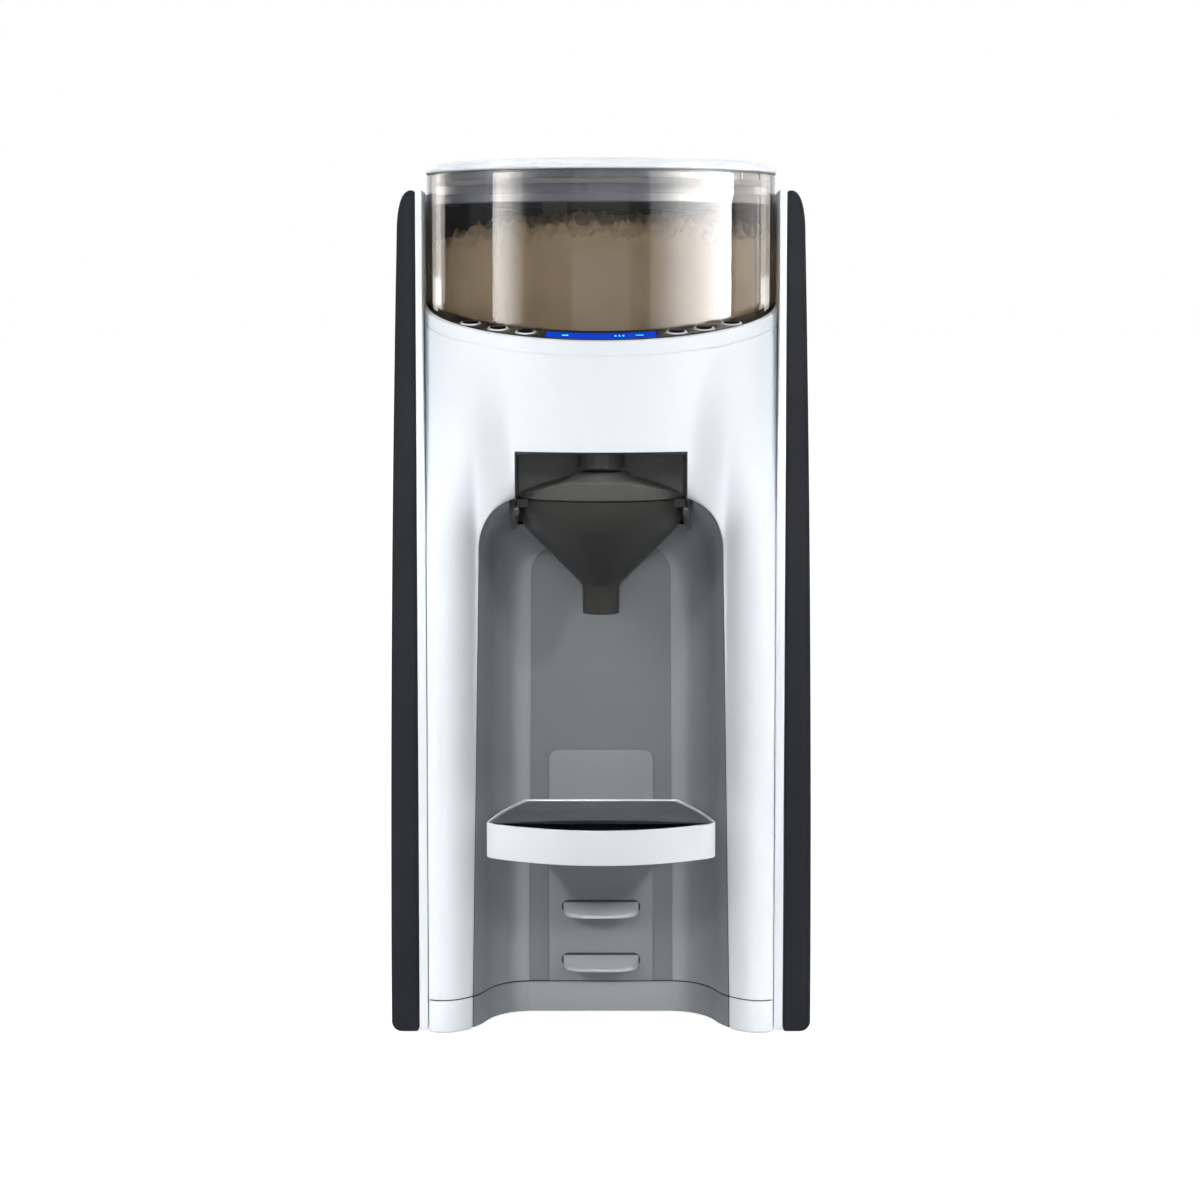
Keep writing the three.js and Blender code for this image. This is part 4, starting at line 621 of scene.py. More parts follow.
def sillShape(heights, near, far):
    edgeY = shellY(shell["archHalfWidth"], shell["seamZ"], 0, 0)

    def wall(offset):
        half = []
        for inset, depth in bayRings(10):
            x = mix(shell["archHalfWidth"] - gap, bay["halfWidth"], inset) + (offset if inset else 0)
            y = mix(edgeY, bay["backY"], depth) + (0 if inset else offset)
            half.append((x, y + (offset if inset >= 1 else 0)))
        return [[(x, y, z) for z in heights] for x, y in half + [(-x, y) for x, y in half[::-1]]]
    return slabOf(wall(near), wall(far))


sill = objectOf("base_sill_fine", sillShape((base["sillLow"], base["capTop"]), 0, bay["wall"]))
softened(sill, base["edge"], 2, 40)
finished(sill, "sillGrey", "housing", "grey_plastic", "base_sill")
sillSeal = objectOf("base_seal", sillShape(base["sealHeights"], *base["sealReach"]))
finished(sillSeal, "blackPartsAndPaintedShade", "housing", "rubber")


def capOutline(side, inset, steps=40):
    inner, outer = shell["archHalfWidth"] + inset, shell["halfWidthLow"] - inset
    outline = []
    for k in range(steps + 1):
        x = mix(inner, outer, k / steps)
        outline.append((side * x, shellY(x, shell["skirtZ"], 0, 0) + inset))
    return outline + [(side * outer, base["plateY"]), (side * inner, base["plateY"])]


bothHands = ((-1, "left"), (1, "right"))
for side, hand in bothHands:
    layers = [(capOutline(side, inset), z) for z, inset in base["foot"] + ((base["capTop"], 0),)]
    footCap = objectOf("base_cap_fine_" + hand, layeredOf(layers))
    softened(footCap, base["edge"], 2, 50)
    finished(footCap, "shellWhite", "housing", "white_plastic", "base_cap_" + hand)
    capSeal = objectOf("cap_seal_" + hand, prismOf(capOutline(side, base["sealInset"]), *base["sealHeights"]))
    finished(capSeal, "blackPartsAndPaintedShade", "housing", "rubber")

# Black side panels over white linings
sides = {
    "innerX": 71.8, "footX": 82.5, "shoulderX": 78.7, "shoulderZ": 312, "topX": 73, "topZ": 330,
    "bendZ": 160, "footCorner": 4, "lowZ": 0.9, "frontY": -103, "rearY": 145, "wall": 3, "edge": 1.6,
    "liningInner": 69.9, "liningOuter": 71.5, "liningStep": -76, "liningRear": 142, "liningEdge": 0.4,
    "liningLap": 1, "liningSteps": 12,
}


def panelOutline(inset, innerX):
    low, corner = sides["lowZ"] + inset, sides["footCorner"]
    foot, shoulder = sides["footX"] - inset, sides["shoulderX"] - inset
    shoulderZ, top = sides["shoulderZ"] - inset, sides["topZ"] - inset
    outline = [(innerX, low)]
    outline += arcPoints(foot - corner, low + corner, corner, -90, 0, 10)
    outline += curvePoints((foot, low + corner), (foot, sides["bendZ"]), (shoulder, shoulderZ), 30)
    outline += curvePoints((shoulder, shoulderZ), (shoulder, top), (sides["topX"], top), 16)
    return outline + [(innerX, top)]


# The lining fills the way from the shell's side to the panel
def liningOutline():
    steps = sides["liningSteps"]
    heights = [shell["seamZ"]]
    heights += [mix(shell["widenFrom"], shell["widenTo"], k / steps) for k in range(steps + 1)]
    outline = [(shellHalfWidth(shell["seamZ"]) + gap, shell["skirtZ"])]
    outline += [(shellHalfWidth(z) + gap, z) for z in heights]
    outline += [(shell["halfWidthHigh"] + gap, sides["topZ"]), (sides["liningOuter"], sides["topZ"])]
    return outline + [(sides["liningOuter"], shell["skirtZ"])]


sidePieces = []
for side, hand in bothHands:
    outer, hollow, front = ([(side * x, z) for x, z in outline] for outline in (
        panelOutline(0, sides["innerX"]), panelOutline(sides["wall"], sides["liningInner"]), liningOutline()))
    panel = objectOf("side_panel_fine_" + hand, frontPrismOf(outer, sides["frontY"], sides["rearY"]))
    carved(panel, frontPrismOf(hollow, sides["frontY"] + sides["wall"], sides["rearY"] - sides["wall"]))
    softened(panel, sides["edge"], 4, 50)
    finished(panel, "sideBlack", "housing", "black_plastic", "side_panel_" + hand)
    lining = objectOf("side_lining_fine_" + hand, frontPrismOf(front, sides["frontY"], sides["liningStep"]))
    x0, x1 = sorted((side * sides["liningInner"], side * sides["liningOuter"]))
    rearPart = boxOf(x0, x1, sides["liningStep"] - sides["liningLap"], sides["liningRear"], shell["skirtZ"],
                     sides["topZ"])
    carved(lining, rearPart, operation="UNION")
    softened(lining, sides["liningEdge"], 2, 50)
    finished(lining, "shellWhite", "housing", "white_plastic", "side_lining_" + hand)
    sidePieces += [panel, lining]
print("sides made")

# Powder container
container = {"y": -57, "radius": 69.5, "wall": 2, "floorZ": 266, "floor": 2.4, "corner": 6, "topZ": 337.2,
             "outletReach": 50, "outletRadius": 7.5, "hubRadius": 3.6, "cutLow": 260, "cutHigh": 275,
             "steps": 160}


def containerProfile():
    radius, corner, edge = container["radius"], container["corner"], container["wall"] / 2
    inner, innerCorner = radius - container["wall"], corner - container["wall"]
    floor = container["floorZ"] + container["floor"]
    profile = [(0, container["floorZ"])]
    profile += arcPoints(radius - corner, container["floorZ"] + corner, corner, -90, 0, 12)
    profile += arcPoints(radius - edge, container["topZ"] - edge, edge, 0, 180, 10)
    profile += arcPoints(inner - innerCorner, floor + innerCorner, innerCorner, 0, -90, 12)
    return profile + [(0, floor)]


tub = objectOf("powder_container_fine", turnedOf(containerProfile(), container["y"], container["steps"]))
outlet, hub = (rodProfile(container[name], container["cutLow"], container["cutHigh"])
               for name in ("outletRadius", "hubRadius"))
carved(tub, turnedOf(outlet, container["y"] - container["outletReach"], 40),
       turnedOf(hub, container["y"], 32))
finished(tub, "clearContainer", "container", "clear_smoke", "powder_container", sharp=35)

# Powder, heaped and crumbly, over the room that the stirrer sweeps.
# Clumps, crumb and fine are waves to a millimetre and height
powder = {
    "radius": 67.2, "edgeZ": 311, "heap": 9.5, "heapPower": 2.4, "sweep": 61.8, "lowZ": 272.6, "roof": 279.8,
    "hubRoof": 285.8, "hub": 11, "rings": 90, "steps": 340, "flankShares": (0.3, 0.6, 0.85),
    "clumps": ((0.06, 3.4), (0.2, 1.4), (0.55, 0.8)), "crumb": (0.36, 6),
    "crumbFloor": 0.05, "fine": (0.8, 1.6),
    "leftDip": 3.5, "leftFrom": 20, "leftTo": 66, "dip": 8, "dipX": -19, "dipY": 37, "dipReach": 17,
}
crumbPlace, finePlace = Vector((7, 3, 1)), Vector((2, 9, 4))


def powderZ(x, y):
    share = math.hypot(x, y) / powder["radius"]
    place = Vector((x, y, 0))
    clumps = sum(noise.noise(place * waves) * height for waves, height in powder["clumps"])
    (crumbWaves, crumbHeight), (fineWaves, fineHeight) = powder["crumb"], powder["fine"]
    crumbs = max(0, noise.noise(place * crumbWaves + crumbPlace) - powder["crumbFloor"]) * crumbHeight
    crumbs += abs(noise.noise(place * fineWaves + finePlace)) * fineHeight
    left = ease(-x, powder["leftFrom"], powder["leftTo"]) * powder["leftDip"]
    away = (x - powder["dipX"]) ** 2 + (y - powder["dipY"]) ** 2
    rise = powder["heap"] * (1 - share ** powder["heapPower"])
    rise -= powder["dip"] * math.exp(-away / powder["dipReach"] ** 2)
    top = powder["edgeZ"] + rise + clumps * mix(0.4, 1, share) + crumbs * ease(share, 0.2, 0.7)
    return top - left * share


def powderShape():
    radius, hub, sweep, low = powder["radius"], powder["hub"], powder["sweep"], powder["lowZ"]
    under = [(0, powder["hubRoof"]), (hub, powder["hubRoof"]), (hub, powder["roof"]), (sweep, powder["roof"]),
             (sweep, low), (radius, low)]
    rows = []
    for k in range(powder["steps"]):
        turn = 2 * math.pi * k / powder["steps"]
        sine, cosine = math.sin(turn), -math.cos(turn)
        top = powderZ(radius * sine, radius * cosine)
        section = under + [(radius, mix(low, top, share)) for share in powder["flankShares"]]
        for ring in range(powder["rings"] + 1):
            r = radius * (1 - ring / powder["rings"])
            section.append((r, powderZ(r * sine, r * cosine)))
        rows.append([(r * sine, container["y"] + r * cosine, z) for r, z in section])
    return sheetOf(rows, closed=True)


heap = objectOf("formula_powder_fine", powderShape())
finished(heap, "powder", "container", "powder", "formula_powder", sharp=80)

# Lid, with the ring under it that closes the container
lid = {
    "radius": 69.8, "rimZ": 337.5, "rimEdge": 0.4, "edgeZ": 338.7, "shoulder": 11, "shoulderZ": 342,
    "topZ": 343, "bendIn": 1.6, "bendDrop": 0.4, "crownSteps": 12, "crownPower": 2.2, "plateZ": 339.5,
    "skirtRadius": 66.9, "skirtWall": 2, "skirtEdge": 0.5, "skirtZ": 324.9,
    "lipZ": 328.3, "lipIn": 0.6, "lipLow": 0.3, "lipHigh": 0.7, "sealZ": 331.7, "sealTop": 334.3,
    "sealDepth": 0.9,
    "post": (-24, -14, -21.5, -18.5), "postZ": 321, "postEdge": 0.6,
}


def lidProfile():
    radius, shoulderZ = lid["radius"], lid["shoulderZ"]
    profile = [(0, lid["plateZ"]), (lid["skirtRadius"], lid["plateZ"]), (lid["skirtRadius"], lid["rimZ"])]
    profile += [(radius - lid["rimEdge"], lid["rimZ"]), (radius, lid["rimZ"] + lid["rimEdge"])]
    bend = (radius - lid["bendIn"], shoulderZ - lid["bendDrop"])
    shoulder = (radius - lid["shoulder"], shoulderZ)
    profile += curvePoints((radius, lid["edgeZ"]), bend, shoulder, 10)
    for k in range(1, lid["crownSteps"]):
        share = k / lid["crownSteps"]
        rise = 1 - (1 - share) ** lid["crownPower"]
        profile.append((mix(shoulder[0], 0, share), mix(shoulder[1], lid["topZ"], rise)))
    return profile + [(0, lid["topZ"])]


def skirtProfile():
    skirt, inner, edge = lid["skirtRadius"], lid["skirtRadius"] - lid["skirtWall"], lid["skirtEdge"]
    groove, lip, lipZ = skirt - lid["sealDepth"], skirt - lid["lipIn"], lid["lipZ"]
    profile = [(inner, lid["plateZ"]), (inner, lid["skirtZ"] + edge), (inner + edge, lid["skirtZ"])]
    profile += [(skirt - edge, lid["skirtZ"]), (skirt, lid["skirtZ"] + edge), (skirt, lipZ)]
    profile += [(lip, lipZ + lid["lipLow"]), (lip, lipZ + lid["lipHigh"]), (skirt, lid["sealZ"])]
    profile += [(groove, lid["sealZ"]), (groove, lid["sealTop"]), (skirt, lid["sealTop"])]
    return profile + [(skirt, lid["rimZ"]), (skirt - edge, lid["plateZ"])]


# The ring's skirt is lid plastic given a dark grey: painted shade
ring = objectOf("powder_lid_ring", turnedOf(skirtProfile(), container["y"], container["steps"]))
finished(ring, "skirtPaintedShade", "lid", "white_plastic", sharp=40)
lidCap = objectOf("powder_lid_fine", turnedOf(lidProfile(), container["y"], container["steps"]))
finished(lidCap, "lidWhite", "lid", "white_plastic", "powder_lid", sharp=40)
post = objectOf("powder_lid_post", boxOf(*lid["post"], lid["postZ"], lid["plateZ"]))
softened(post, lid["postEdge"])
finished(post, "postGrey", "lid", "white_plastic")

# The catch that locks the lid: ribs on the ring and a dark slot, as angles from the front and heights
catch = {"inner": 66.4, "outer": 67.2, "slot": (66, 66.8, 334.5, 337.2),
         "ribs": ((43, 50.5, 334.5, 335), (43, 46.5, 335.9, 336.3), (53.2, 54.2, 334.5, 337.1))}


def ringSector(first, last, low, high):
    outline = arcPoints(0, container["y"], catch["outer"], first - 90, last - 90, 8)
    outline += arcPoints(0, container["y"], catch["inner"], last - 90, first - 90, 8)
    return prismOf(outline, low, high)


ribs = objectOf("powder_lid_catch", joined(*(ringSector(*rib) for rib in catch["ribs"])))
finished(ribs, "postGrey", "lid", "white_plastic")
catchSlot = objectOf("powder_lid_slot", ringSector(*catch["slot"]))
finished(catchSlot, "blackPartsAndPaintedShade", "lid", "rubber")
print("container made")

# Control panel: a gloss crescent with a display and six buttons
panel = {"frontRadius": 68.2, "rearRadius": 70, "endX": 60, "thickness": 1.8, "edge": 0.25,
         "lcdX": 20.8, "lcdFront": 1.8, "lcdRear": 2.6, "lcdThickness": 3.4, "lcdDepth": 0.3,
         "markRise": 0.08, "markDepth": 0.05, "cutLow": 250, "cutHigh": 300, "holeReach": 6}
button = {"radius": 4.2, "places": (28.5, 39.1, 49.8), "rise": 0.6, "cap": 2.1, "stemRadius": 1.8,
          "stem": 2.9, "foot": 0.2, "round": 0.7, "roundDrop": 0.95, "dishIn": 0.52, "dishDrop": 0.27,
          "steps": 6,
          "faceRadius": 3.1, "faceForward": 0.45, "faceDepth": 0.5, "faceBevel": 0.2,
          "faceRises": (0.02, 0.12, 0.2)}


def crescentOutline(frontRadius, rearRadius, endX, steps=60):
    xs = [mix(-endX, endX, k / steps) for k in range(steps + 1)]
    outline = [(x, shell["headCentreY"] - math.sqrt(frontRadius ** 2 - x * x)) for x in xs]
    return outline + [(x, container["y"] - math.sqrt(rearRadius ** 2 - x * x)) for x in xs[::-1]]


# The display's outline in the crescent, grown by a clearance
def lcdOutline(clearance):
    return crescentOutline(panel["frontRadius"] - panel["lcdFront"] + clearance,
                           panel["rearRadius"] + panel["lcdRear"] - clearance, panel["lcdX"] + clearance)


# A plate parallel to the rim plane, between two depths under it
def slopedPlate(outline, top, low):
    points, faces = prismOf(outline, 0, 1)
    lean = math.cos(rim["slope"])
    return [(x, y, rimZ(y) - (top if level else low) / lean) for x, y, level in points], faces


def buttonY(x):
    front = shell["headCentreY"] - math.sqrt(panel["frontRadius"] ** 2 - x * x)
    rear = container["y"] - math.sqrt(panel["rearRadius"] ** 2 - x * x)
    return (front + rear) / 2


# A turned shape square to the panel
def onPanel(profile, x, forward=0):
    y = buttonY(x) - forward
    points, faces = turnedOf(profile, 0, 48)
    turn = Matrix.Rotation(rim["slope"], 3, "X")
    return [tuple(turn @ Vector(p) + Vector((x, y, rimZ(y)))) for p in points], faces


crescent = objectOf("control_panel_fine", slopedPlate(
    crescentOutline(panel["frontRadius"], panel["rearRadius"], panel["endX"]), 0, panel["thickness"]))
carved(crescent, prismOf(lcdOutline(gap), panel["cutLow"], panel["cutHigh"]))
hole = rodProfile(button["radius"] + gap, -panel["holeReach"], panel["holeReach"])
for x in button["places"]:
    carved(crescent, onPanel(hole, -x), onPanel(hole, x))
softened(crescent, panel["edge"], 2, 50)
finished(crescent, "panelBlack", "housing", "gloss_black", "control_panel", sharp=40)

display = objectOf("lcd_display_fine", slopedPlate(
    lcdOutline(0), panel["lcdDepth"], panel["lcdDepth"] + panel["lcdThickness"]))
finished(display, "displayBlue", "housing", "display_blue", "lcd_display")

# A water drop and level bars, as on any such display: place, width and depth
lcdMarks = ((-13.5, 2.4, 1.4), (5.4, 0.7, 1.8), (6.9, 0.7, 1.8), (8.4, 0.7, 1.8), (14.5, 3.0, 0.8))
marks = []
for x, wide, deep in lcdMarks:
    x0, x1, y0, y1 = x - wide / 2, x + wide / 2, buttonY(x) - deep / 2, buttonY(x) + deep / 2
    marks.append(slopedPlate([(x0, y0), (x1, y0), (x1, y1), (x0, y1)], panel["lcdDepth"] - panel["markRise"],
                             panel["lcdDepth"] + panel["markDepth"]))
finished(objectOf("lcd_marks", joined(*marks)), "displayMark", "housing", "display_blue")


def buttonProfile():
    radius, rise, foot, steps = button["radius"], button["rise"], button["foot"], button["steps"]
    low, stem = rise - button["cap"], button["stemRadius"]
    profile = [(0, low - button["stem"]), (stem, low - button["stem"]), (stem, low)]
    profile += [(radius - foot, low), (radius, low + foot)]
    profile += arcPoints(radius - button["round"], rise - button["roundDrop"], button["round"], 0, 75, steps)
    for k in range(1, steps + 1):
        share = k / steps
        height = mix(rise - button["dishDrop"], rise, 1 - (1 - share) ** 2)
        profile.append((mix(radius - button["dishIn"], 0, share), height))
    return profile


def faceProfile():
    radius, low = button["faceRadius"], button["rise"] - button["faceDepth"]
    edge, bevel, middle = (button["rise"] + rise for rise in button["faceRises"])
    return [(0, low), (radius, low), (radius, edge), (radius - button["faceBevel"], bevel), (0, middle)]


for k, x in enumerate(button["places"]):
    for side, hand in bothHands:
        name, body = f"button_{hand}_{k + 1}", f"key_{hand}_{k + 1}"
        key = objectOf(name + "_fine", onPanel(buttonProfile(), side * x))
        finished(key, "buttonSilver", body, "silver", name, sharp=50)
        face = objectOf(name + "_face", onPanel(faceProfile(), side * x, button["faceForward"]))
        finished(face, "faceBlack", body, "gloss_black", sharp=50)
print("controls made")

# Funnel, its cover, and the holder that both slide into
funnel = {"y": -107, "radius": 31.2, "rimZ": 212.4, "coneZ": 202.4, "spoutRadius": 7.1, "spoutTop": 178.4,
          "spoutLow": 167.2, "wall": 1.6, "spoutWall": 1.3, "edge": 0.4, "boreEdge": 0.3, "neck": 1.5,
          "neckOut": 1.6, "shoulder": 3.5, "shoulderRise": 6, "tabLength": 28, "tabX": 32.2, "tabLow": 209.3,
          "tabIn": 3.5, "tabBore": 0.8, "cutLow": 200, "cutHigh": 220}
cover = {"radius": 32, "edgeZ": 213.3, "lowZ": 212.7, "topZ": 218.9, "wall": 1.8, "lipRise": 0.2,
         "domeRadius": 15, "domeInner": 9.8, "domeRise": 3.2, "hole": 8, "nozzleY": -85,
         "nozzleHole": 3.8, "edge": 0.35, "cutLow": 205, "cutHigh": 225}


def funnelProfile():
    outer, spout, edge, boreEdge = funnel["radius"], funnel["spoutRadius"], funnel["edge"], funnel["boreEdge"]
    inner, bore = outer - funnel["wall"], spout - funnel["spoutWall"]
    low, coneLow, coneTop, top = funnel["spoutLow"], funnel["spoutTop"], funnel["coneZ"], funnel["rimZ"]
    neck, out, shoulder = coneLow - funnel["neck"], funnel["neckOut"], funnel["shoulder"]
    profile = [(bore, low + boreEdge), (bore + boreEdge, low), (spout - edge, low), (spout, low + edge)]
    profile += curvePoints((spout, neck), (spout, coneLow), (spout + out, coneLow + out), 5)
    profile += curvePoints((outer - shoulder, coneTop - shoulder), (outer, coneTop),
                           (outer, coneTop + funnel["shoulderRise"]), 9)
    profile += [(outer, top - edge), (outer - edge, top), (inner + edge, top), (inner, top - edge)]
    return profile + [(inner, coneTop + funnel["wall"]), (bore, coneLow + funnel["wall"])]


cone = objectOf("funnel_fine", turnedOf(funnelProfile(), funnel["y"], 128))
finished(cone, "funnelSmoke", "funnel_set", "smoke_plastic", "funnel", sharp=40)
tabs = []
for side in (-1, 1):
    x0, x1 = sorted((side * (funnel["radius"] - funnel["tabIn"]), side * funnel["tabX"]))
    tabs.append(boxOf(x0, x1, funnel["y"] - funnel["tabLength"] / 2, funnel["y"] + funnel["tabLength"] / 2,
                      funnel["tabLow"], funnel["rimZ"]))
grips = objectOf("funnel_tabs", joined(*tabs))
carved(grips, turnedOf(rodProfile(funnel["radius"] - funnel["tabBore"], funnel["cutLow"], funnel["cutHigh"]),
                       funnel["y"], 96))
finished(grips, "funnelSmoke", "funnel_set", "smoke_plastic")


# The cover rises from its sides to a crown, with a low dome round the powder's hole
def coverZ(x, radius):
    half = cover["radius"]
    reach = max(half / 4, min(half, abs(x)))
    t = (half - math.sqrt(max(0, half * half - half * (half - reach)))) / (half / 2)
    crown = cover["topZ"] - (cover["topZ"] - cover["edgeZ"]) * (1 - t) ** 2
    dome = cover["domeRise"] * ease(cover["domeRadius"] - radius, 0, cover["domeRadius"] - cover["domeInner"])
    return crown + dome


# One skin, turned down at its border into an upright wall
def coverShape(steps=128, rings=26):
    border, inner, low = cover["radius"], cover["radius"] - cover["wall"], cover["lowZ"]
    spans = [mix(cover["hole"], border, ring / rings) for ring in range(rings + 1)]
    rows = []
    for k in range(steps):
        turn = 2 * math.pi * k / steps
        across, along = math.sin(turn), math.cos(turn)
        section = [(r, coverZ(r * across, r)) for r in spans] + [(border, low), (inner, low)]
        for r in spans[::-1]:
            under = coverZ(r * across, r) - cover["wall"]
            section.append((min(r, inner), max(low + cover["lipRise"], under)))
        section.append(section[0])
        rows.append([(r * across, funnel["y"] - r * along, z) for r, z in section])
    return sheetOf(rows, closed=True)


crown = objectOf("funnel_cover_fine", coverShape())
nozzleRoom = rodProfile(cover["nozzleHole"], cover["cutLow"], cover["cutHigh"])
carved(crown, turnedOf(nozzleRoom, cover["nozzleY"], 32))
softened(crown, cover["edge"], 2, 55)
finished(crown, "coverSmoke", "funnel_set", "smoke_plastic", "funnel_cover", sharp=45)
# The cover's up-facing faces take a lighter copy of its finish: painted light on its top
secondFinish(crown, "crownSmokePaintedLight", lambda face: face.normal.z > 0.6)

mount = rounded("funnel_holder", holder["edge"], "holderGrey", "housing", "dark_plastic")
secondFinish(mount, "blackPartsAndPaintedShade", lambda face: (
    abs(face.center.x) > holder["cheekX"] * mm
    or face.normal.y < -0.7 and face.center.y < holder["frontY"] * mm))
# A thin dark frame at the front of the opening is painted shade: it stands for the shadow line round the
# opening's edge
halfWidth, sideX, topZ = shell["openingX"], shell["openingX"] - holder["shadeFrameSide"], shell["openingTop"]
shadeFrameBars = ((-halfWidth, -sideX, cover["lowZ"]), (sideX, halfWidth, cover["lowZ"]),
            (-halfWidth, halfWidth, topZ - holder["shadeFrameTop"]))
shadeFrame = [boxOf(x0, x1, holder["shadeFrameFront"], holder["lipY"], low, topZ) for x0, x1, low in shadeFrameBars]
finished(objectOf("opening_painted_shade", joined(*shadeFrame)), "blackPartsAndPaintedShade", "housing", "dark_plastic")
print("funnel made")

# Tray on its rail of pegs
tray = {"low": 74.8, "top": 88.3, "frontY": -145, "sagitta": 18, "rearY": -70.6, "frontX": 44.4,
        "rearX": 30.8, "bow": 3, "cornerCut": 1, "inset": 1, "depth": 2, "edge": 1.3, "cutRise": 5,
        "socketGap": 0.4,
        "padDrop": 0.3, "padUnder": 0.15, "padEdge": 0.4, "lensRear": 7.5, "lensInset": 1.2, "lensEdge": 0.1}
peg = {"half": 15.1, "reach": 16, "roundness": 3.4, "least": 0.02, "rise": 2.8, "front": 1.3,
       "tops": (24.5, 46.2, 82), "edge": 0.45, "gap": 0.8, "pegShadeAhead": 0.1, "pegShadeBehind": 0.2}
rail = {"half": 21, "low": 13.8, "top": 108, "wall": 0.6, "edge": 0.3, "corner": 4}


def trayOutline(inset, steps=40):
    rear, front = tray["rearY"] - inset, tray["frontY"] + tray["sagitta"]
    rearX, frontX = tray["rearX"] - inset, tray["frontX"] - inset
    corner, cut = (frontX, front), tray["cornerCut"]
    side = [(rearX, rear)]
    side += curvePoints((rearX, rear), ((rearX + frontX) / 2 + tray["bow"], (rear + front) / 2), corner, 16)
    nose = curvePoints(corner, (0, front - 2 * tray["sagitta"] + 2 * inset), (-frontX, front), steps)
    edge = side[:-cut]
    edge += curvePoints(edge[-1], corner, nose[2 * cut - 1], 8)
    return [(-x, y) for x, y in edge + nose[2 * cut:-2 * cut]] + edge[::-1]


def pegOutline(clearance, steps=28):
    half, reach, power = peg["half"] + clearance, peg["reach"] + clearance, 2 / peg["roundness"]
    root = bay["backY"] - gap
    outline = [(half, root)]
    for k in range(steps + 1):
        turn = math.pi * k / steps
        across, along = math.cos(turn), math.sin(turn)
        x = half * math.copysign(abs(across) ** power, across)
        outline.append((x, root - (reach - gap) * max(peg["least"], along) ** power))
    return outline + [(-half, root)]


# A peg slopes down to a bowed front edge
def pegShape(top, clearance):
    low = top - peg["rise"] - peg["front"] - clearance
    front = bay["backY"] - peg["reach"]
    points, faces = prismOf(pegOutline(clearance), 0, 1)
    slope = peg["rise"] / peg["reach"]

    def height(y):
        return top - peg["rise"] + clearance + slope * (y - front)
    return [(x, y, height(y) if level else low) for x, y, level in points], faces


# The black inlay is a lens between the front edge and a flatter arc
def lensOutline(steps=40):
    inset = tray["inset"] + gap + tray["lensInset"]
    front, frontX = tray["frontY"] + tray["sagitta"], tray["frontX"] - inset
    left, right, forward = (-frontX, front), (frontX, front), (0, front - 2 * tray["sagitta"] + 2 * inset)
    outline = [left] + curvePoints(left, forward, right, steps)
    return outline + curvePoints(right, (0, front + 2 * tray["lensRear"]), left, steps)[:-1]


plate = objectOf("tray_body_fine", prismOf(trayOutline(0), tray["low"], tray["top"]))
carved(plate, prismOf(trayOutline(tray["inset"]), tray["top"] - tray["depth"], tray["top"] + tray["cutRise"]),
       pegShape(peg["tops"][2], tray["socketGap"]))
softened(plate, tray["edge"], 4, 40)
finished(plate, "trayWhite", "tray", "white_plastic", "tray_body", sharp=50)
padTop, padLow = tray["top"] - tray["padDrop"], tray["top"] - tray["depth"] + gap
pad = objectOf("tray_pad_fine", prismOf(trayOutline(tray["inset"] + gap), padLow, padTop - tray["padUnder"]))
softened(pad, tray["padEdge"], 2, 40)
finished(pad, "deckGrey", "tray", "dark_plastic", "tray_pad")
lens = objectOf("tray_pad_lens", prismOf(lensOutline(), padTop - tray["padDrop"], padTop))
softened(lens, tray["lensEdge"], 1, 40)
finished(lens, "inlayBlack", "tray", "gloss_black")


def railOutline():
    half, low, top, corner = rail["half"], rail["low"], rail["top"], rail["corner"]
    outline = [(-half, low), (half, low)] + arcPoints(half - corner, top - corner, corner, 0, 90, 8)
    return outline + arcPoints(corner - half, top - corner, corner, 90, 180, 8)


# Painted shade round a peg: a dark sheet on the rail with round ends, where the peg's shadow falls
def pegShadeOutline(top):
    half = (peg["rise"] + peg["front"]) / 2
    middle, rise = top - half, half + peg["gap"]
    bend = peg["half"] + peg["gap"] - rise
    return arcPoints(bend, middle, rise, -90, 90, 12) + arcPoints(-bend, middle, rise, 90, 270, 12)


railBack = bay["backY"] - gap
railFront = railBack - rail["wall"]
strip = objectOf("tray_rail_fine", frontPrismOf(railOutline(), railFront, railBack))
softened(strip, rail["edge"])
finished(strip, "railGrey", "housing", "pale_grey_plastic", "tray_rail")
# Each peg gets a dark sheet of painted shade round it on the rail
for k, top in enumerate(peg["tops"]):
    pegShadeSheet = objectOf(f"peg_painted_shade_{k + 1}", frontPrismOf(
        pegShadeOutline(top), railFront - peg["pegShadeAhead"], railBack - peg["pegShadeBehind"]))
    finished(pegShadeSheet, "blackPartsAndPaintedShade", "housing", "dark_plastic")
    lug = objectOf(f"tray_peg_{k + 1}", pegShape(top, 0))
    softened(lug, peg["edge"], 3, 40)
    finished(lug, "pegGrey", "housing", "pale_grey_plastic")
print("tray made")

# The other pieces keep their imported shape; those that show get rounded edges
roundedPieces = {
    "water_tank": (0.8, "clearTank", "tank", "tank_plastic"),
    "tank_lid": (0.8, "darkPlastic", "tank_cover", "dark_plastic"),
    "rear_deck": (0.5, "darkPlastic", "housing", "dark_plastic"),
    "back_panel": (0.5, "sideBlack", "housing", "black_plastic"),
    "powder_bay": (0.3, "darkPlastic", "housing", "dark_plastic"),
    "power_inlet": (0.4, "rubber", "housing", "black_plastic"),
    "base_plate": (0.5, "sideBlack", "housing", "black_plastic"),
}
for node, settings in roundedPieces.items():
    rounded(node, *settings)

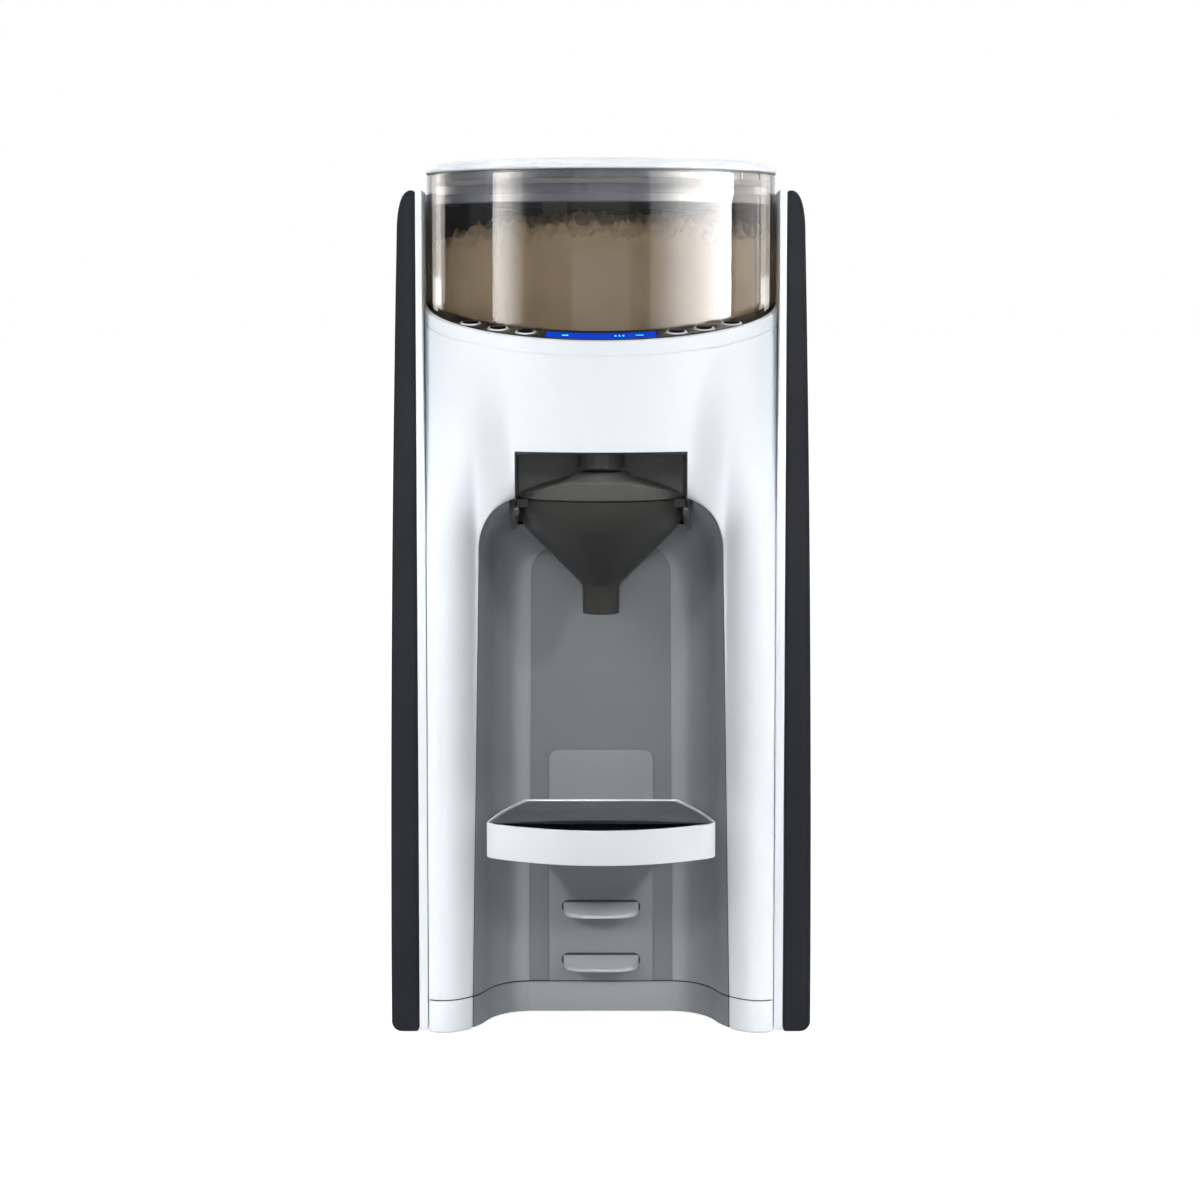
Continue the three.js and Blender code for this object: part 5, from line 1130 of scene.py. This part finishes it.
keptPieces = {
    "rubber": ("foot_front_left", "foot_front_right", "foot_rear_left", "foot_rear_right"),
    "steel": ("rear_screw_left", "rear_screw_right", "drive_shaft", "motor_pinion", "mix_motor",
              "water_nozzle", "tank_hinge_pin"),
    "darkPlastic": ("inner_frame", "motor_bracket", "tank_dock", "water_pump"),
    "naturalNylon": ("portion_wheel", "stirrer", "drive_gear", "tank_valve"),
    "boardGreen": ("control_board", "main_board"),
    "hoseSilicone": ("tank_hose", "heater_hose", "nozzle_hose"),
    "sealClear": ("lid_seal",), "chuteGrey": ("powder_chute",), "copper": ("heater",),
}
for finish, nodes in keptPieces.items():
    for node in nodes:
        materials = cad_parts[node].data.materials
        materials.clear()
        materials.append(finishes[finish])
print("inner pieces dressed")


# Floor: plain white to the camera, and dull where it takes shadow
def floorMaterial():
    material = bpy.data.materials.new("floorWhite")
    material.use_nodes = True
    tree = material.node_tree
    shader = tree.nodes["Principled BSDF"]
    setInputs(shader, {"Base Color": (0.82, 0.82, 0.82, 1), "Roughness": 0.9, "Specular IOR Level": 0.1,
                       "Emission Color": (1, 1, 1, 1)})
    glow = nodeOf(tree, "Math", {1: 0.86}, operation="MULTIPLY")
    link(tree, nodeOf(tree, "LightPath"), "Is Camera Ray", glow, 0)
    link(tree, glow, "Value", shader, "Emission Strength")
    return material


floorSize = 20
floorMesh = bpy.data.meshes.new("floor")
corners = [(x * floorSize, y * floorSize, 0) for x, y in ((-1, -1), (1, -1), (1, 1), (-1, 1))]
floorMesh.from_pydata(corners, [], [(0, 1, 2, 3)])
floor = placed("floor", floorMesh)
floor.data.materials.append(floorMaterial())

# World: seen as white, while its light on the object is lower and cool
worldLight = {"strength": 0.29, "tint": (0.92, 0.96, 1.0, 1)}
world = bpy.data.worlds.new("studio")
world.use_nodes = True
bpy.context.scene.world = world
tree = world.node_tree
tree.nodes.clear()
output = nodeOf(tree, "OutputWorld")
room = nodeOf(tree, "Background", {"Color": worldLight["tint"], "Strength": worldLight["strength"]})
seen = nodeOf(tree, "Background", {"Color": (1, 1, 1, 1), "Strength": 1})
path = nodeOf(tree, "LightPath")
cameraOrGloss = nodeOf(tree, "Math", operation="MAXIMUM")
anySeen = nodeOf(tree, "Math", operation="MAXIMUM")
link(tree, path, "Is Camera Ray", cameraOrGloss, 0)
link(tree, path, "Is Glossy Ray", cameraOrGloss, 1)
link(tree, cameraOrGloss, "Value", anySeen, 0)
link(tree, path, "Is Transmission Ray", anySeen, 1)
pick = nodeOf(tree, "MixShader")
link(tree, anySeen, "Value", pick, "Fac")
link(tree, room, "Background", pick, 1)
link(tree, seen, "Background", pick, 2)
link(tree, pick, "Shader", output, "Surface")

# Lamps, in metres and watts; those with a spread are grids, with a narrow field and no reflection
lamps = {
    "frontKey": {"place": (-0.1, -1.55, 1.15), "aim": (0, -0.1, 0.18), "size": (1.3, 0.8), "power": 5.35},
    "frontLow": {"place": (0, -1.4, 0.25), "aim": (0, -0.1, 0.1), "size": (0.9, 0.3), "power": 1.3},
    "rightFill": {"place": (1.5, -0.9, 0.7), "aim": (0, 0, 0.2), "size": (0.7, 1.3), "power": 2},
    "leftFill": {"place": (-1.5, -0.9, 0.6), "aim": (0, 0, 0.2), "size": (0.7, 1.3), "power": 2},
    "leftGrid": {"place": (-0.53, -0.87, 0.6), "aim": (-0.07, -0.11, 0.2), "size": (0.12, 0.9), "power": 0.18,
                 "spread": 7},
    "rightGrid": {"place": (0.53, -0.87, 0.6), "aim": (0.07, -0.11, 0.2), "size": (0.12, 0.9), "power": 0.18,
                  "spread": 7},
    "headGrid": {"place": (0, -1.5, 0.5), "aim": (0, -0.11, 0.24), "size": (0.5, 0.1), "power": 0.028,
                 "spread": 8},
    "topSoft": {"place": (0, 0.3, 1.7), "aim": (0, 0, 0.3), "size": (1.4, 1.4), "power": 5},
}
# Softboxes round the object, at angles from its front; they show only as reflections and fade to one side
strips = {
    "rightBroad": {"turn": 62, "width": 1.95, "power": 200, "fade": (0.1, 1.5)},
    "leftNarrow": {"turn": -61, "width": 0.6, "power": 33, "fade": (1.5, 0.2)},
    "rightSide": {"turn": 109, "width": 0.8, "power": 4, "fade": (1, 1)},
    "rightEdge": {"turn": 135, "width": 0.5, "power": 4.2, "fade": (1.3, 0.5), "height": -0.1, "tall": 0.87},
    "leftEdge": {"turn": -135, "width": 0.5, "power": 5.6, "fade": (0.3, 1.5), "height": -0.1, "tall": 0.87},
}
# Lamps for the flanks of the powder, which the side panels would keep dark
flanks = {"rightFlank": {"turn": 78, "power": 5.5}, "leftFlank": {"turn": -78, "power": 3.2}}
around = {"aim": (0, 0, 0.3), "stripReach": 1.6, "stripHeight": 0.4, "stripTall": 1.0,
          "flankReach": 1.3, "flankHeight": 0.35, "flankSize": (0.5, 0.5)}


def lampAt(name, place, aim, size, power):
    light = bpy.data.lights.new(name, "AREA")
    light.shape = "RECTANGLE"
    light.size, light.size_y = size
    light.energy = power
    item = placed(name, light)
    item.location = place
    item.rotation_euler = (Vector(aim) - Vector(place)).to_track_quat("-Z", "Y").to_euler()
    return item


def lampAround(name, degrees, reach, height, size, power):
    turn = math.radians(degrees)
    return lampAt(name, (reach * math.sin(turn), -reach * math.cos(turn), height), around["aim"], size, power)


# Light of a softbox from one side of its cloth to the other
def faded(light, first, last):
    light.use_nodes = True
    tree = light.node_tree
    cloth = nodeOf(tree, "NewGeometry")
    across = nodeOf(tree, "SeparateXYZ")
    level = nodeOf(tree, "MapRange", {"To Min": first, "To Max": last}, interpolation_type="SMOOTHSTEP")
    link(tree, cloth, "Parametric", across, "Vector")
    link(tree, across, "X", level, "Value")
    link(tree, level, "Result", tree.nodes["Emission"], "Strength")


def collectionOf(name, items):
    collection = bpy.data.collections.new(name)
    for item in items:
        collection.objects.link(item)
    return collection


for name, lamp in lamps.items():
    item = lampAt(name, lamp["place"], lamp["aim"], lamp["size"], lamp["power"])
    item.data.spread = math.radians(lamp.get("spread", 180))
    item.visible_glossy = "spread" not in lamp
clearPieces = collectionOf("stripReceivers", (tub, ring, ribs, catchSlot, lidCap, post, crescent, display))
powderOnly = collectionOf("flankReceivers", (heap,))
unblocked = collectionOf("stripBlockers", sidePieces)
for member in unblocked.collection_objects:
    member.light_linking.link_state = "EXCLUDE"
for name, strip in strips.items():
    height, tall = strip.get("height", around["stripHeight"]), strip.get("tall", around["stripTall"])
    item = lampAround(name, strip["turn"], around["stripReach"], height, (strip["width"], tall),
                      strip["power"])
    faded(item.data, *strip["fade"])
    item.visible_diffuse = False
    item.visible_camera = False
    item.light_linking.receiver_collection = clearPieces
    if abs(strip["turn"]) > 90:
        item.light_linking.blocker_collection = unblocked
for name, flank in flanks.items():
    item = lampAround(name, flank["turn"], around["flankReach"], around["flankHeight"], around["flankSize"],
                      flank["power"])
    item.visible_glossy = False
    item.light_linking.receiver_collection = powderOnly
    item.light_linking.blocker_collection = unblocked

bpy.context.scene.view_settings.view_transform = "Standard"
print("stage set")
